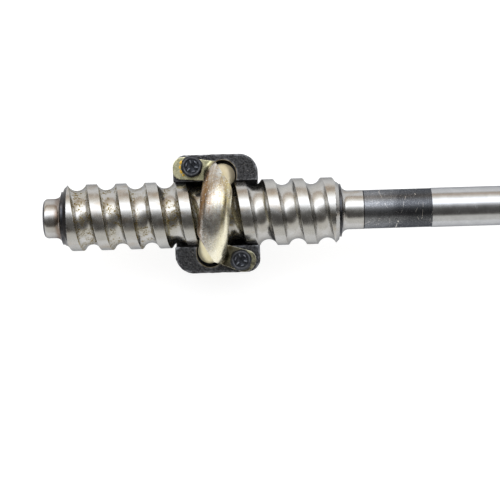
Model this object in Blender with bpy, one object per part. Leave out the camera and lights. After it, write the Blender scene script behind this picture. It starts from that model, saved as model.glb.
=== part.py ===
"""Worm shaft and recirculating-ball half nut of a manual steering box, as separate pieces.

Frame: +X along the worm shaft towards its input end, +Z out of the open side of the half nut,
where the transfer tube crosses it, and the origin on the worm's axis, at the centre of the
object's box. All values are in metres.
"""

import math

import bmesh
import bpy
from mathutils import Vector

MM = 0.001

# Ball thread, right-handed
LEAD = 14.2875 * MM
PITCH_RADIUS = 18.05 * MM
BALL_RADIUS = 4.7625 * MM
BALL_COUNT = 13
WORM_GROOVE_RADIUS = 4.85 * MM
NUT_GROOVE_RADIUS = 5.1 * MM

# Worm shaft, along X
SHAFT_LENGTH = 305.0 * MM
NUT_X = -68.25 * MM
WORM_RADIUS = 16.2 * MM
WORM_START = NUT_X - 72.1 * MM
WORM_END = NUT_X + 57.5 * MM
THREAD_CHAMFER = 1.8 * MM
SHOULDER_RADIUS = 12.95 * MM
SHOULDER_WIDTH = 1.3 * MM
RACE_RADIUS = 3.5 * MM
STUB_RADIUS = 9.65 * MM
NECK_RADIUS = 9.525 * MM
NECK_END = NUT_X + 71.25 * MM
BAND_RADIUS = 9.45 * MM
BAND_END = NUT_X + 104.5 * MM
ROD_RADIUS = 9.625 * MM
END_CHAMFER = 1.5 * MM
CENTRE_HOLE_RADIUS = 2.5 * MM
CENTRE_HOLE_DEPTH = 4.0 * MM
CENTRE_HOLE_FLOOR = 0.6 * MM

# Input end: bush between two rings, then the serrations for a universal joint
BUSH_X = 118.0 * MM
BUSH_LENGTH = 14.0 * MM
BUSH_RADIUS = 14.0 * MM
BUSH_BORE_RADIUS = 9.8 * MM
RING_THICKNESS = 1.2 * MM
RING_INNER_RADIUS = 8.95 * MM
RING_OUTER_RADIUS = 12.2 * MM
RING_GAP_ANGLE = math.radians(50)
RING_GROOVE_RADIUS = 8.6 * MM
RING_GROOVE_WIDTH = 1.8 * MM
RING_PLAY = 0.3 * MM
SPLINE_START = 129.0 * MM
SPLINE_TEETH = 36
SPLINE_ROOT_RADIUS = 8.75 * MM
SPLINE_TIP_RADIUS = 9.45 * MM
SPLINE_RELIEF = 0.5 * MM
CLAMP_GROOVE_X = 141.0 * MM
CLAMP_GROOVE_WIDTH = 7.0 * MM
CLAMP_GROOVE_RADIUS = 7.9 * MM

# Half nut
NUT_HALF_LENGTH = 20.65 * MM
NUT_HALF_WIDTH = 28.8 * MM
ARM_TOP = 6.0 * MM
NUT_BACK = -33.1 * MM
NUT_OPEN_ROUNDING = 9.2 * MM
NUT_EAR_ROUNDING = 6.5 * MM
NUT_BACK_ROUNDING = 16.0 * MM
NUT_BORE_RADIUS = 16.65 * MM
POCKET_RADIUS = 6.45 * MM
POCKET_STRETCH = 1.3 * MM
POCKET_FLOOR = -0.35 * MM
TRACK_OVERRUN = math.radians(2)
PEG_SOCKET_RADIUS = 12.2 * MM
PEG_SOCKET_DEPTH = 6.8 * MM
PEG_BUSH_RADIUS = 12.0 * MM
PEG_BUSH_BORE = 9.0 * MM
FIT_GAP = 0.1 * MM

# Transfer tube: two legs along Z joined by a half circle
TUBE_RADIUS = 5.95 * MM
TUBE_BORE_RADIUS = 5.1 * MM
ARCH_Z = 7.5 * MM
TUBE_END_Z = 2.0 * MM
TUBE_TRIM_RADIUS = 16.7 * MM
LEG_X = LEAD / 4
ARCH_BOW = 0.6 * MM

# Tube clamp: half shell over the tube with an ear on each arm of the nut
SHELL_INNER_RADIUS = 6.25 * MM
SHELL_RADIUS = 7.55 * MM
SHELL_HALF_ANGLE = math.radians(95)
EAR_BOTTOM = ARM_TOP + FIT_GAP
EAR_TOP = EAR_BOTTOM + 1.3 * MM
SEAM_TIP = (-0.1 * MM, 25.3 * MM)
SEAM_SIDE = (7.4 * MM, 12.9 * MM)

# M6 bolts and their spring washers
BOLT_X, BOLT_Y = -11.2 * MM, 22.9 * MM
BOLT_RADIUS = 3.0 * MM
BOLT_HOLE_RADIUS = 3.35 * MM
BOLT_HOLE_DEPTH = 15.0 * MM
BOLT_REACH = 13.0 * MM
HEAD_ACROSS_FLATS = 10.0 * MM
HEAD_HEIGHT = 4.0 * MM
HEAD_CHAMFER = 0.7 * MM
WASHER_RADIUS = 4.9 * MM
WASHER_HEIGHT = 1.4 * MM
WASHER_GAP_ANGLE = math.radians(14)

ROUND_SIDES = 32
THREAD_STEPS_PER_TURN = 20
GROOVE_SIDES = 10
OPEN_RING_STEPS = 20
TUBE_SIDES = 14
SMOOTH_ANGLE = math.radians(30)
SAME_POINT = 0.001 * MM


def clear_scene():
    for obj in list(bpy.data.objects):
        bpy.data.objects.remove(obj)


def metal(name, colour, roughness, metallic=1.0):
    material = bpy.data.materials.new(name)
    material.use_nodes = True
    shader = material.node_tree.nodes["Principled BSDF"]
    shader.inputs["Base Color"].default_value = (*colour, 1.0)
    shader.inputs["Roughness"].default_value = roughness
    shader.inputs["Metallic"].default_value = metallic
    material.diffuse_color = (*colour, 1.0)
    return material


def finish_mesh(name, shape, material=None):
    """An object from a closed bmesh, its faces pointing out. Without a material it is a cutter."""
    bmesh.ops.recalc_face_normals(shape, faces=shape.faces)
    mesh = bpy.data.meshes.new(name)
    shape.to_mesh(mesh)
    shape.free()
    mesh.shade_smooth()
    mesh.set_sharp_from_angle(angle=SMOOTH_ANGLE)
    obj = bpy.data.objects.new(name, mesh)
    bpy.context.scene.collection.objects.link(obj)
    if material:
        mesh.materials.append(material)
    else:
        obj.hide_render = True
        obj.display_type = "WIRE"
    return obj


def loft(name, sections, material=None, closed=False):
    """A skin over loops of equally many points. It has end caps, or joins its last loop to its first."""
    shape = bmesh.new()
    loops = [[shape.verts.new(point) for point in section] for section in sections]
    pairs = list(zip(loops, loops[1:]))
    if closed:
        pairs.append((loops[-1], loops[0]))
    else:
        shape.faces.new(loops[0])
        shape.faces.new(loops[-1])
    for first, second in pairs:
        for i in range(len(first)):
            j = (i + 1) % len(first)
            shape.faces.new((first[i], first[j], second[j], second[i]))
    return finish_mesh(name, shape, material)


def circle(centre, across, along, radius, sides):
    """Points on a circle in the plane of two unit vectors."""
    turns = [2 * math.pi * (i + 0.5) / sides for i in range(sides)]
    return [centre + radius * (math.cos(t) * across + math.sin(t) * along) for t in turns]


def outside(radius, sides):
    """The corner radius of a regular polygon drawn round a circle."""
    return radius / math.cos(math.pi / sides)


def ring_about_x(x, radius, sides=ROUND_SIDES):
    turns = [2 * math.pi * i / sides for i in range(sides)]
    return [Vector((x, radius * math.cos(t), radius * math.sin(t))) for t in turns]


def turned(name, outline, material=None, closed=False):
    """A solid of revolution about X through (x, radius) points."""
    return loft(name, [ring_about_x(x, radius) for x, radius in outline], material, closed)


def upright_cylinder(name, x, y, radius, low, high, material=None, sides=ROUND_SIDES):
    across, along = Vector((1, 0, 0)), Vector((0, 1, 0))
    sections = [circle(Vector((x, y, z)), across, along, radius, sides) for z in (low, high)]
    return loft(name, sections, material)


def prism_z(name, outline, low, high, material=None):
    return loft(name, [[Vector((x, y, z)) for x, y in outline] for z in (low, high)], material)


def prism_x(name, outline, low, high, material=None):
    return loft(name, [[Vector((x, y, z)) for y, z in outline] for x in (low, high)], material)


def rounded(corners, steps=6):
    """An outline through (u, v, radius) corners, each rounded by an arc of its radius."""
    outline = []
    for i, (u, v, radius) in enumerate(corners):
        corner = Vector((u, v))
        if not radius:
            outline.append(corner)
            continue
        before = (Vector(corners[i - 1][:2]) - corner).normalized()
        after = (Vector(corners[(i + 1) % len(corners)][:2]) - corner).normalized()
        half = before.angle(after) / 2
        centre = corner + (before + after).normalized() * radius / math.sin(half)
        first = corner + before * radius / math.tan(half) - centre
        sweep = math.pi - 2 * half
        if first.cross(corner - centre) < 0:
            sweep = -sweep
        for step in range(steps + 1):
            angle = sweep * step / steps
            cosine, sine = math.cos(angle), math.sin(angle)
            arm = Vector((first.x * cosine - first.y * sine, first.x * sine + first.y * cosine))
            outline.append(centre + arm)
    return [p for i, p in enumerate(outline) if (p - outline[i - 1]).length > SAME_POINT]


def boolean(target, other, operation="DIFFERENCE"):
    modifier = target.modifiers.new(other.name, "BOOLEAN")
    modifier.operation = operation
    modifier.object = other


def groove_x(angle):
    """Where the ball track's centre line is along X, at an angle from +Y towards +Z."""
    return NUT_X + LEAD / 4 + LEAD * angle / (2 * math.pi)


def ball_track(name, start, end, radius, steps_per_turn):
    """A round cutter along the ball track from one angle to another."""
    steps = math.ceil((end - start) / (2 * math.pi) * steps_per_turn)
    sections = []
    for i in range(steps + 1):
        angle = start + (end - start) * i / steps
        outward = Vector((0, math.cos(angle), math.sin(angle)))
        centre = Vector((groove_x(angle), 0, 0)) + PITCH_RADIUS * outward
        around = Vector((0, -math.sin(angle), math.cos(angle)))
        tangent = (Vector((LEAD / (2 * math.pi), 0, 0)) + PITCH_RADIUS * around).normalized()
        corner = outside(radius, GROOVE_SIDES)
        sections.append(circle(centre, outward, tangent.cross(outward), corner, GROOVE_SIDES))
    return loft(name, sections)


def race_fillet(x, radius, towards, steps=5):
    """The concave quarter round from a journal up to the shoulder, as (x, radius) points."""
    centre = radius + RACE_RADIUS
    last = math.asin((SHOULDER_RADIUS - centre) / RACE_RADIUS)
    points = []
    for i in range(steps + 1):
        angle = -math.pi / 2 + (last + math.pi / 2) * i / steps
        along, up = RACE_RADIUS * math.cos(angle), RACE_RADIUS * math.sin(angle)
        points.append((x + towards * along, centre + up))
    return points


def ring_groove(x):
    """(x, radius) points of one retaining-ring groove in the rod."""
    low, high = x - RING_GROOVE_WIDTH / 2, x + RING_GROOVE_WIDTH / 2
    return [(low, ROD_RADIUS), (low, RING_GROOVE_RADIUS), (high, RING_GROOVE_RADIUS), (high, ROD_RADIUS)]


def ring_positions():
    reach = BUSH_LENGTH / 2 + RING_PLAY + RING_THICKNESS / 2
    return BUSH_X - reach, BUSH_X + reach


def shaft_outline():
    left, right = -SHAFT_LENGTH / 2, SHAFT_LENGTH / 2
    chamfer_foot = WORM_RADIUS - THREAD_CHAMFER
    left_shoulder = WORM_START - THREAD_CHAMFER
    right_shoulder = WORM_END + THREAD_CHAMFER
    left_race = left_shoulder - SHOULDER_WIDTH - RACE_RADIUS
    right_race = right_shoulder + SHOULDER_WIDTH + RACE_RADIUS
    outline = [(left + CENTRE_HOLE_DEPTH, CENTRE_HOLE_FLOOR), (left, CENTRE_HOLE_RADIUS)]
    outline += [(left, STUB_RADIUS - END_CHAMFER), (left + END_CHAMFER, STUB_RADIUS)]
    outline += race_fillet(left_race, STUB_RADIUS, 1)
    outline += [(left_shoulder, SHOULDER_RADIUS), (left_shoulder, chamfer_foot)]
    outline += [(WORM_START, WORM_RADIUS), (WORM_END, WORM_RADIUS)]
    outline += [(right_shoulder, chamfer_foot), (right_shoulder, SHOULDER_RADIUS)]
    outline += reversed(race_fillet(right_race, NECK_RADIUS, -1))
    outline += [(NECK_END, NECK_RADIUS), (NECK_END, BAND_RADIUS)]
    outline += [(BAND_END, BAND_RADIUS), (BAND_END, ROD_RADIUS)]
    for x in ring_positions():
        outline += ring_groove(x)
    outline += [(SPLINE_START, ROD_RADIUS), (SPLINE_START, SPLINE_ROOT_RADIUS)]
    groove_low = CLAMP_GROOVE_X - CLAMP_GROOVE_WIDTH / 2
    groove_high = CLAMP_GROOVE_X + CLAMP_GROOVE_WIDTH / 2
    outline += [(groove_low, SPLINE_ROOT_RADIUS), (groove_low, CLAMP_GROOVE_RADIUS)]
    outline += [(groove_high, CLAMP_GROOVE_RADIUS), (groove_high, SPLINE_ROOT_RADIUS)]
    outline += [(right - END_CHAMFER, SPLINE_ROOT_RADIUS), (right, SPLINE_ROOT_RADIUS - END_CHAMFER)]
    outline += [(right, CENTRE_HOLE_RADIUS), (right - CENTRE_HOLE_DEPTH, CENTRE_HOLE_FLOOR)]
    return outline


def spline_outline():
    outline = []
    for i in range(2 * SPLINE_TEETH):
        radius = SPLINE_TIP_RADIUS if i % 2 else SPLINE_ROOT_RADIUS - FIT_GAP
        angle = math.pi * i / SPLINE_TEETH
        outline.append((radius * math.cos(angle), radius * math.sin(angle)))
    return outline


def worm_shaft():
    steel = metal("ground_steel", (0.56, 0.54, 0.51), 0.28)
    shaft = turned("worm_shaft", shaft_outline(), steel)
    first = 2 * math.pi * (WORM_START - 8 * MM - groove_x(0)) / LEAD
    last = 2 * math.pi * (WORM_END + 8 * MM - groove_x(0)) / LEAD
    track = ball_track("worm_track_cutter", first, last, WORM_GROOVE_RADIUS, THREAD_STEPS_PER_TURN)
    boolean(shaft, track)
    half_groove = CLAMP_GROOVE_WIDTH / 2 + SPLINE_RELIEF
    lands = [
        (SPLINE_START + SPLINE_RELIEF, CLAMP_GROOVE_X - half_groove),
        (CLAMP_GROOVE_X + half_groove, SHAFT_LENGTH / 2 - END_CHAMFER - SPLINE_RELIEF),
    ]
    for i, (low, high) in enumerate(lands):
        teeth = prism_x(f"spline_{i}", spline_outline(), low, high)
        boolean(shaft, teeth, "UNION")
    return shaft


def half_nut():
    black = metal("phosphated_iron", (0.035, 0.035, 0.037), 0.55, 0.6)
    section = rounded([
        (NUT_HALF_WIDTH, ARM_TOP, 0),
        (-NUT_HALF_WIDTH, ARM_TOP, 0),
        (-NUT_HALF_WIDTH, NUT_BACK, NUT_BACK_ROUNDING),
        (NUT_HALF_WIDTH, NUT_BACK, NUT_BACK_ROUNDING),
    ])
    nut = prism_x("half_nut", section, NUT_X - NUT_HALF_LENGTH, NUT_X + NUT_HALF_LENGTH, black)
    plan = rounded([
        (NUT_X + x * NUT_HALF_LENGTH, y * NUT_HALF_WIDTH, NUT_OPEN_ROUNDING if x == y else NUT_EAR_ROUNDING)
        for x, y in ((1, 1), (-1, 1), (-1, -1), (1, -1))
    ], steps=5)
    boolean(nut, prism_z("nut_plan", plan, NUT_BACK - 1 * MM, ARM_TOP + 1 * MM), "INTERSECT")
    over = NUT_HALF_LENGTH + 1 * MM
    bore = [(NUT_X - over, NUT_BORE_RADIUS), (NUT_X + over, NUT_BORE_RADIUS)]
    boolean(nut, turned("nut_bore_cutter", bore))
    first, last = -math.pi - TRACK_OVERRUN, TRACK_OVERRUN
    back_half = ball_track("nut_track_cutter", first, last, NUT_GROOVE_RADIUS, 2 * THREAD_STEPS_PER_TURN)
    boolean(nut, back_half)
    for name, side in (("upper", 1), ("lower", -1)):
        x, y = NUT_X + side * LEG_X, side * PITCH_RADIUS
        boolean(nut, pocket_cutter(f"pocket_cutter_{name}", x, y, side))
        bolt_x, bolt_y = NUT_X + side * BOLT_X, side * BOLT_Y
        low, high = ARM_TOP - BOLT_HOLE_DEPTH, ARM_TOP + 1 * MM
        hole = upright_cylinder(
            f"nut_hole_cutter_{name}", bolt_x, bolt_y, BOLT_HOLE_RADIUS, low, high, sides=16
        )
        boolean(nut, hole)
    low, high = NUT_BACK - 1 * MM, NUT_BACK + PEG_SOCKET_DEPTH
    boolean(nut, upright_cylinder("peg_socket_cutter", NUT_X, 0, PEG_SOCKET_RADIUS, low, high))
    return nut


def pocket_cutter(name, x, y, side):
    """The well for one tube leg, stretched away from the worm."""
    corners = rounded([
        (x + POCKET_RADIUS, y - side * POCKET_RADIUS, POCKET_RADIUS),
        (x + POCKET_RADIUS, y + side * (POCKET_RADIUS + POCKET_STRETCH), POCKET_RADIUS),
        (x - POCKET_RADIUS, y + side * (POCKET_RADIUS + POCKET_STRETCH), POCKET_RADIUS),
        (x - POCKET_RADIUS, y - side * POCKET_RADIUS, POCKET_RADIUS),
    ])
    return prism_z(name, corners, POCKET_FLOOR, ARM_TOP + 1 * MM)


def arch_x(turn):
    """Where the arch is along X: it crosses from leg to leg, bowed a little towards -X."""
    return NUT_X + LEG_X * (1 - 2 * turn / math.pi) - ARCH_BOW * math.sin(turn)


def tube_frames(arch_steps, end_z):
    """(centre, outward) along the tube, from the upper leg's end to the lower leg's."""
    frames = [(Vector((NUT_X + LEG_X, PITCH_RADIUS, end_z)), Vector((0, 1, 0)))]
    for i in range(arch_steps + 1):
        turn = math.pi * i / arch_steps
        outward = Vector((0, math.cos(turn), math.sin(turn)))
        frames.append((Vector((arch_x(turn), 0, ARCH_Z)) + PITCH_RADIUS * outward, outward))
    frames.append((Vector((NUT_X - LEG_X, -PITCH_RADIUS, end_z)), Vector((0, -1, 0))))
    return frames


def transfer_tube():
    zinc = metal("pale_yellow_zinc", (0.72, 0.66, 0.45), 0.3)
    along_x = Vector((1, 0, 0))
    frames = tube_frames(14, TUBE_END_Z)
    bore = outside(TUBE_BORE_RADIUS, TUBE_SIDES)
    outer = [circle(c, out, along_x, TUBE_RADIUS, TUBE_SIDES) for c, out in frames]
    inner = [circle(c, out, along_x, bore, TUBE_SIDES) for c, out in frames]
    tube = loft("transfer_tube", outer + inner[::-1], zinc, closed=True)
    over = 12 * MM
    trim = [(NUT_X - over, TUBE_TRIM_RADIUS), (NUT_X + over, TUBE_TRIM_RADIUS)]
    boolean(tube, turned("tube_trim_cutter", trim))
    return tube


def shell_section(centre, outward, steps=10):
    """The half shell's cross-section: its outer arc, then its inner arc back."""
    turns = [SHELL_HALF_ANGLE * (2 * i / steps - 1) for i in range(steps + 1)]
    arms = [math.cos(t) * outward + math.sin(t) * Vector((1, 0, 0)) for t in turns]
    outer = [centre + SHELL_RADIUS * arm for arm in arms]
    inner = [centre + SHELL_INNER_RADIUS * arm for arm in reversed(arms)]
    return outer + inner


def beyond_seam(side):
    """The plan of what the sheet leaves bare on one leg: the ground past the straight seam."""
    tip, corner = Vector(SEAM_TIP), Vector(SEAM_SIDE)
    along = (corner - tip).normalized()
    away = Vector((-along.y, along.x))
    far = 40 * MM
    points = [tip - far * along, corner + 3 * MM * along]
    points += [corner + 3 * MM * along + far * away, tip - far * along + far * away]
    return [(NUT_X + side * p.x, side * p.y) for p in points]


def upper_ear():
    """The upper ear's plan from the nut's centre, square ended, running in under the shell."""
    return rounded([
        (-20.6 * MM, 28.7 * MM, 5.0 * MM),
        (SEAM_TIP[0], SEAM_TIP[1], 0),
        (4.0 * MM, 17.0 * MM, 0),
        (0.0, 15.6 * MM, 0),
        (-6.8 * MM, 16.1 * MM, 0),
        (-20.6 * MM, 17.2 * MM, 4.0 * MM),
    ])


def lower_ear():
    """The lower ear's plan from the nut's centre, round ended."""
    return rounded([
        (-1.2 * MM, -23.5 * MM, 0),
        (-4.0 * MM, -17.0 * MM, 0),
        (0.0, -15.5 * MM, 0),
        (5.6 * MM, -15.5 * MM, 0),
        (19.6 * MM, -19.6 * MM, 4.6 * MM),
        (16.6 * MM, -30.8 * MM, 6.0 * MM),
    ])


def tube_clamp():
    gold = metal("yellow_chromate", (0.62, 0.5, 0.26), 0.32)
    sections = [shell_section(c, out) for c, out in tube_frames(16, EAR_BOTTOM)]
    clamp = loft("tube_clamp", sections, gold)
    for name, side in (("upper", 1), ("lower", -1)):
        seam = beyond_seam(side)
        boolean(clamp, prism_z(f"seam_cutter_{name}", seam, 0.0, 40 * MM))
    for name, side, plan in (("upper", 1, upper_ear()), ("lower", -1, lower_ear())):
        outline = [(NUT_X + point.x, point.y) for point in plan]
        ear = prism_z(f"clamp_ear_{name}", outline, EAR_BOTTOM, EAR_TOP)
        leg_x, leg_y = NUT_X + side * LEG_X, side * PITCH_RADIUS
        low, high = EAR_BOTTOM - 1 * MM, EAR_TOP + 1 * MM
        leg = upright_cylinder(
            f"ear_leg_cutter_{name}", leg_x, leg_y, SHELL_INNER_RADIUS + FIT_GAP / 2, low, high
        )
        boolean(ear, leg)
        bolt_x, bolt_y = NUT_X + side * BOLT_X, side * BOLT_Y
        hole = upright_cylinder(
            f"ear_hole_cutter_{name}", bolt_x, bolt_y, BOLT_HOLE_RADIUS, low, high, sides=16
        )
        boolean(ear, hole)
        boolean(clamp, ear, "UNION")
    over = 24 * MM
    trim = [(NUT_X - over, TUBE_TRIM_RADIUS), (NUT_X + over, TUBE_TRIM_RADIUS)]
    boolean(clamp, turned("clamp_trim_cutter", trim))
    return clamp


def clamp_bolt(name, x, y):
    black = metal(f"black_bolt_{name}", (0.02, 0.021, 0.024), 0.38, 0.8)
    washer_top = EAR_TOP + 2 * FIT_GAP + WASHER_HEIGHT
    head_low, head_high = washer_top, washer_top + HEAD_HEIGHT
    flats = HEAD_ACROSS_FLATS / 2
    across, along = Vector((1, 0, 0)), Vector((0, 1, 0))
    levels = [(head_low, flats), (head_high - HEAD_CHAMFER, flats), (head_high, flats - HEAD_CHAMFER)]
    sections = [
        circle(Vector((x, y, z)), across, along, outside(radius, 6), 6) for z, radius in levels
    ]
    bolt = loft(name, sections, black)
    low = ARM_TOP - BOLT_REACH
    middle = (head_low + head_high) / 2
    shank = upright_cylinder(f"{name}_shank", x, y, BOLT_RADIUS, low, middle, sides=16)
    boolean(bolt, shank, "UNION")
    return bolt


def spring_washer(name, x, y):
    steel = metal(f"spring_steel_{name}", (0.05, 0.05, 0.055), 0.4, 0.9)
    low = EAR_TOP + FIT_GAP
    high = low + WASHER_HEIGHT
    corners = [(BOLT_HOLE_RADIUS, low), (WASHER_RADIUS, low), (WASHER_RADIUS, high), (BOLT_HOLE_RADIUS, high)]
    sections = []
    for i in range(OPEN_RING_STEPS + 1):
        turn = WASHER_GAP_ANGLE + (2 * math.pi - WASHER_GAP_ANGLE) * i / OPEN_RING_STEPS
        out = Vector((math.cos(turn), math.sin(turn), 0))
        sections.append([Vector((x, y, z)) + radius * out for radius, z in corners])
    return loft(name, sections, steel)


def retaining_ring(name, x):
    steel = metal(f"spring_steel_{name}", (0.12, 0.12, 0.13), 0.35, 0.95)
    low, high = x - RING_THICKNESS / 2, x + RING_THICKNESS / 2
    corners = [
        (RING_INNER_RADIUS, low),
        (RING_OUTER_RADIUS, low),
        (RING_OUTER_RADIUS, high),
        (RING_INNER_RADIUS, high),
    ]
    sections = []
    for i in range(OPEN_RING_STEPS + 1):
        turn = RING_GAP_ANGLE / 2 + (2 * math.pi - RING_GAP_ANGLE) * i / OPEN_RING_STEPS
        out = Vector((0, math.cos(turn), math.sin(turn)))
        sections.append([Vector((along, 0, 0)) + radius * out for radius, along in corners])
    return loft(name, sections, steel)


def column_bush():
    bronze = metal("sintered_bronze", (0.55, 0.36, 0.18), 0.45)
    low, high = BUSH_X - BUSH_LENGTH / 2, BUSH_X + BUSH_LENGTH / 2
    outline = [(low, BUSH_RADIUS), (high, BUSH_RADIUS), (high, BUSH_BORE_RADIUS), (low, BUSH_BORE_RADIUS)]
    return turned("column_bush", outline, bronze, closed=True)


def peg_bush():
    steel = metal("bush_steel", (0.5, 0.49, 0.47), 0.3)
    low, high = NUT_BACK, NUT_BACK + PEG_SOCKET_DEPTH - FIT_GAP
    across, along = Vector((1, 0, 0)), Vector((0, 1, 0))
    levels = [(low, PEG_BUSH_RADIUS), (high, PEG_BUSH_RADIUS), (high, PEG_BUSH_BORE), (low, PEG_BUSH_BORE)]
    sections = []
    for z, radius in levels:
        sections.append(circle(Vector((NUT_X, 0, z)), across, along, radius, ROUND_SIDES))
    return loft("peg_bush", sections, steel, closed=True)


def on_ball_path(distance):
    """A ball's centre at a distance along the closed path: behind the worm, up, over and down."""
    half_turn = math.hypot(math.pi * PITCH_RADIUS, 2 * LEG_X)
    if distance < half_turn:
        angle = -math.pi * (1 - distance / half_turn)
        return Vector((groove_x(angle), PITCH_RADIUS * math.cos(angle), PITCH_RADIUS * math.sin(angle)))
    distance -= half_turn
    if distance < ARCH_Z:
        return Vector((NUT_X + LEG_X, PITCH_RADIUS, distance))
    distance -= ARCH_Z
    if distance < half_turn:
        turn = math.pi * distance / half_turn
        return Vector((arch_x(turn), PITCH_RADIUS * math.cos(turn), ARCH_Z + PITCH_RADIUS * math.sin(turn)))
    distance -= half_turn
    return Vector((NUT_X - LEG_X, -PITCH_RADIUS, ARCH_Z - distance))


def balls():
    chrome_steel = metal("ball_steel", (0.72, 0.72, 0.73), 0.12)
    path_length = 2 * math.hypot(math.pi * PITCH_RADIUS, 2 * LEG_X) + 2 * ARCH_Z
    shape = bmesh.new()
    bmesh.ops.create_uvsphere(shape, u_segments=12, v_segments=8, radius=BALL_RADIUS)
    first = finish_mesh("ball_01", shape, chrome_steel)
    for i in range(BALL_COUNT):
        ball = first if i == 0 else bpy.data.objects.new(f"ball_{i + 1:02d}", first.data)
        if i:
            bpy.context.scene.collection.objects.link(ball)
        ball.location = on_ball_path(path_length * (i + 0.5) / BALL_COUNT)


def main():
    clear_scene()
    worm_shaft()
    half_nut()
    transfer_tube()
    tube_clamp()
    for name, side in (("upper", 1), ("lower", -1)):
        x, y = NUT_X + side * BOLT_X, side * BOLT_Y
        clamp_bolt(f"clamp_bolt_{name}", x, y)
        spring_washer(f"spring_washer_{name}", x, y)
    balls()
    peg_bush()
    column_bush()
    inner, outer = ring_positions()
    retaining_ring("retaining_ring_inner", inner)
    retaining_ring("retaining_ring_outer", outer)


main()
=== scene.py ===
"""The looks of a steering box's worm shaft and recirculating-ball half nut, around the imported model."""

from math import acos, asin, atan, atan2, ceil, cos, floor, pi, radians, sin, tan

import bmesh
import bpy
import numpy as np
from mathutils import Matrix, Vector, noise


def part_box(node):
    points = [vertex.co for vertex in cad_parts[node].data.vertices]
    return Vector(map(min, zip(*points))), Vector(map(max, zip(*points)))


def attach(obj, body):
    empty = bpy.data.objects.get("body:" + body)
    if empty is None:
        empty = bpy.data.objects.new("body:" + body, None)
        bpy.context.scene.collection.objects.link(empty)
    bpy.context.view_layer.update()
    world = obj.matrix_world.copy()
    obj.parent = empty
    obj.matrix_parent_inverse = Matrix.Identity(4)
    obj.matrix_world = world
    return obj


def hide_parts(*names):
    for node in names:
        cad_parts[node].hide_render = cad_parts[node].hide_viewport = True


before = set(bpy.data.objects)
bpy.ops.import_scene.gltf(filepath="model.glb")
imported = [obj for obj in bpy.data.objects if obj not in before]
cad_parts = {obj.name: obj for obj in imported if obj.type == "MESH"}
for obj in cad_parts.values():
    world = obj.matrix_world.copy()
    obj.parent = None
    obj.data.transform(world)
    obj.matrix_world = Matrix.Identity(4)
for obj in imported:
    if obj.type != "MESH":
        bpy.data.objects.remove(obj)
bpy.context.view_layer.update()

MM = 0.001
NUT_LOW, NUT_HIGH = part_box("half_nut")
SHAFT_LOW, SHAFT_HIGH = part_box("worm_shaft")
BUSH_LOW, BUSH_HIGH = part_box("column_bush")
PEG_LOW, PEG_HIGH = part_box("peg_bush")
NUT_X = (NUT_LOW.x + NUT_HIGH.x) / 2
ARM_TOP = NUT_HIGH.z
NUT_BACK = NUT_LOW.z

# Ball thread
LEAD = 14.2875 * MM
PITCH_RADIUS = 18.05 * MM
BALL_RADIUS = 4.7625 * MM
TRACK_RADIUS = 4.85 * MM
NUT_TRACK_RADIUS = 5.1 * MM
LEG_X = LEAD / 4

# Worm shaft
WORM_RADIUS = 16.2 * MM
WORM_START = NUT_X - 72.1 * MM
WORM_END = NUT_X + 57.5 * MM
THREAD_CHAMFER = 1.8 * MM
SHOULDER_RADIUS = 12.95 * MM
SHOULDER_WIDTH = 1.3 * MM
RACE_RADIUS = 3.5 * MM
STUB_RADIUS = 9.65 * MM
STUB_ROUNDING = 2.2 * MM
NECK_RADIUS = 9.525 * MM
NECK_END = NUT_X + 71.25 * MM
BAND_RADIUS = 9.45 * MM
BAND_END = NUT_X + 104.5 * MM
ROD_RADIUS = 9.625 * MM
RING_GROOVE_RADIUS = 8.6 * MM
RING_GROOVE_WIDTH = 1.8 * MM
RING_THICKNESS = 1.2 * MM
RING_PLAY = 0.3 * MM
RING_BORE_RADIUS = 8.95 * MM
RING_RADIUS, RING_SWELL = 11.0, 0.75
RING_LUG_SHARE, RING_LUG_HEIGHT = 0.045, 1.1 * MM
RING_EYE_CENTRE, RING_EYE_RADIUS = 10.6 * MM, 0.65 * MM
COLUMN_BUSH_BORE_RADIUS = 9.78 * MM
COLUMN_BUSH_RADIUS = 14.0 * MM
SPLINE_START = 129.0 * MM
SPLINE_TEETH = 36
SPLINE_RADIUS = 9.45 * MM
SPLINE_DEPTH = 0.75 * MM
CLAMP_GROOVE_X = 141.0 * MM
CLAMP_GROOVE_WIDTH = 7.0 * MM
CLAMP_GROOVE_RADIUS = 7.9 * MM
CENTRE_HOLE_RADIUS = 2.5 * MM
CENTRE_HOLE_DEPTH = 4.0 * MM
END_CHAMFER = 1.5 * MM

# Half nut
NUT_BORE_RADIUS = 16.65 * MM
NUT_OPEN_ROUNDING = 9.2 * MM
NUT_EAR_ROUNDING = 6.5 * MM
NUT_BACK_ROUNDING = 16.0 * MM
POCKET_RADIUS = 6.45 * MM
POCKET_STRETCH = 1.3 * MM
POCKET_FLOOR = -0.35 * MM
PEG_SOCKET_RADIUS = 12.15 * MM
PEG_SOCKET_DEPTH = 6.8 * MM
PEG_BUSH_BORE_RADIUS = 9.0 * MM
PEG_BUSH_RADIUS = 12.0 * MM
NUT_VOXEL = 0.36 * MM

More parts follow.
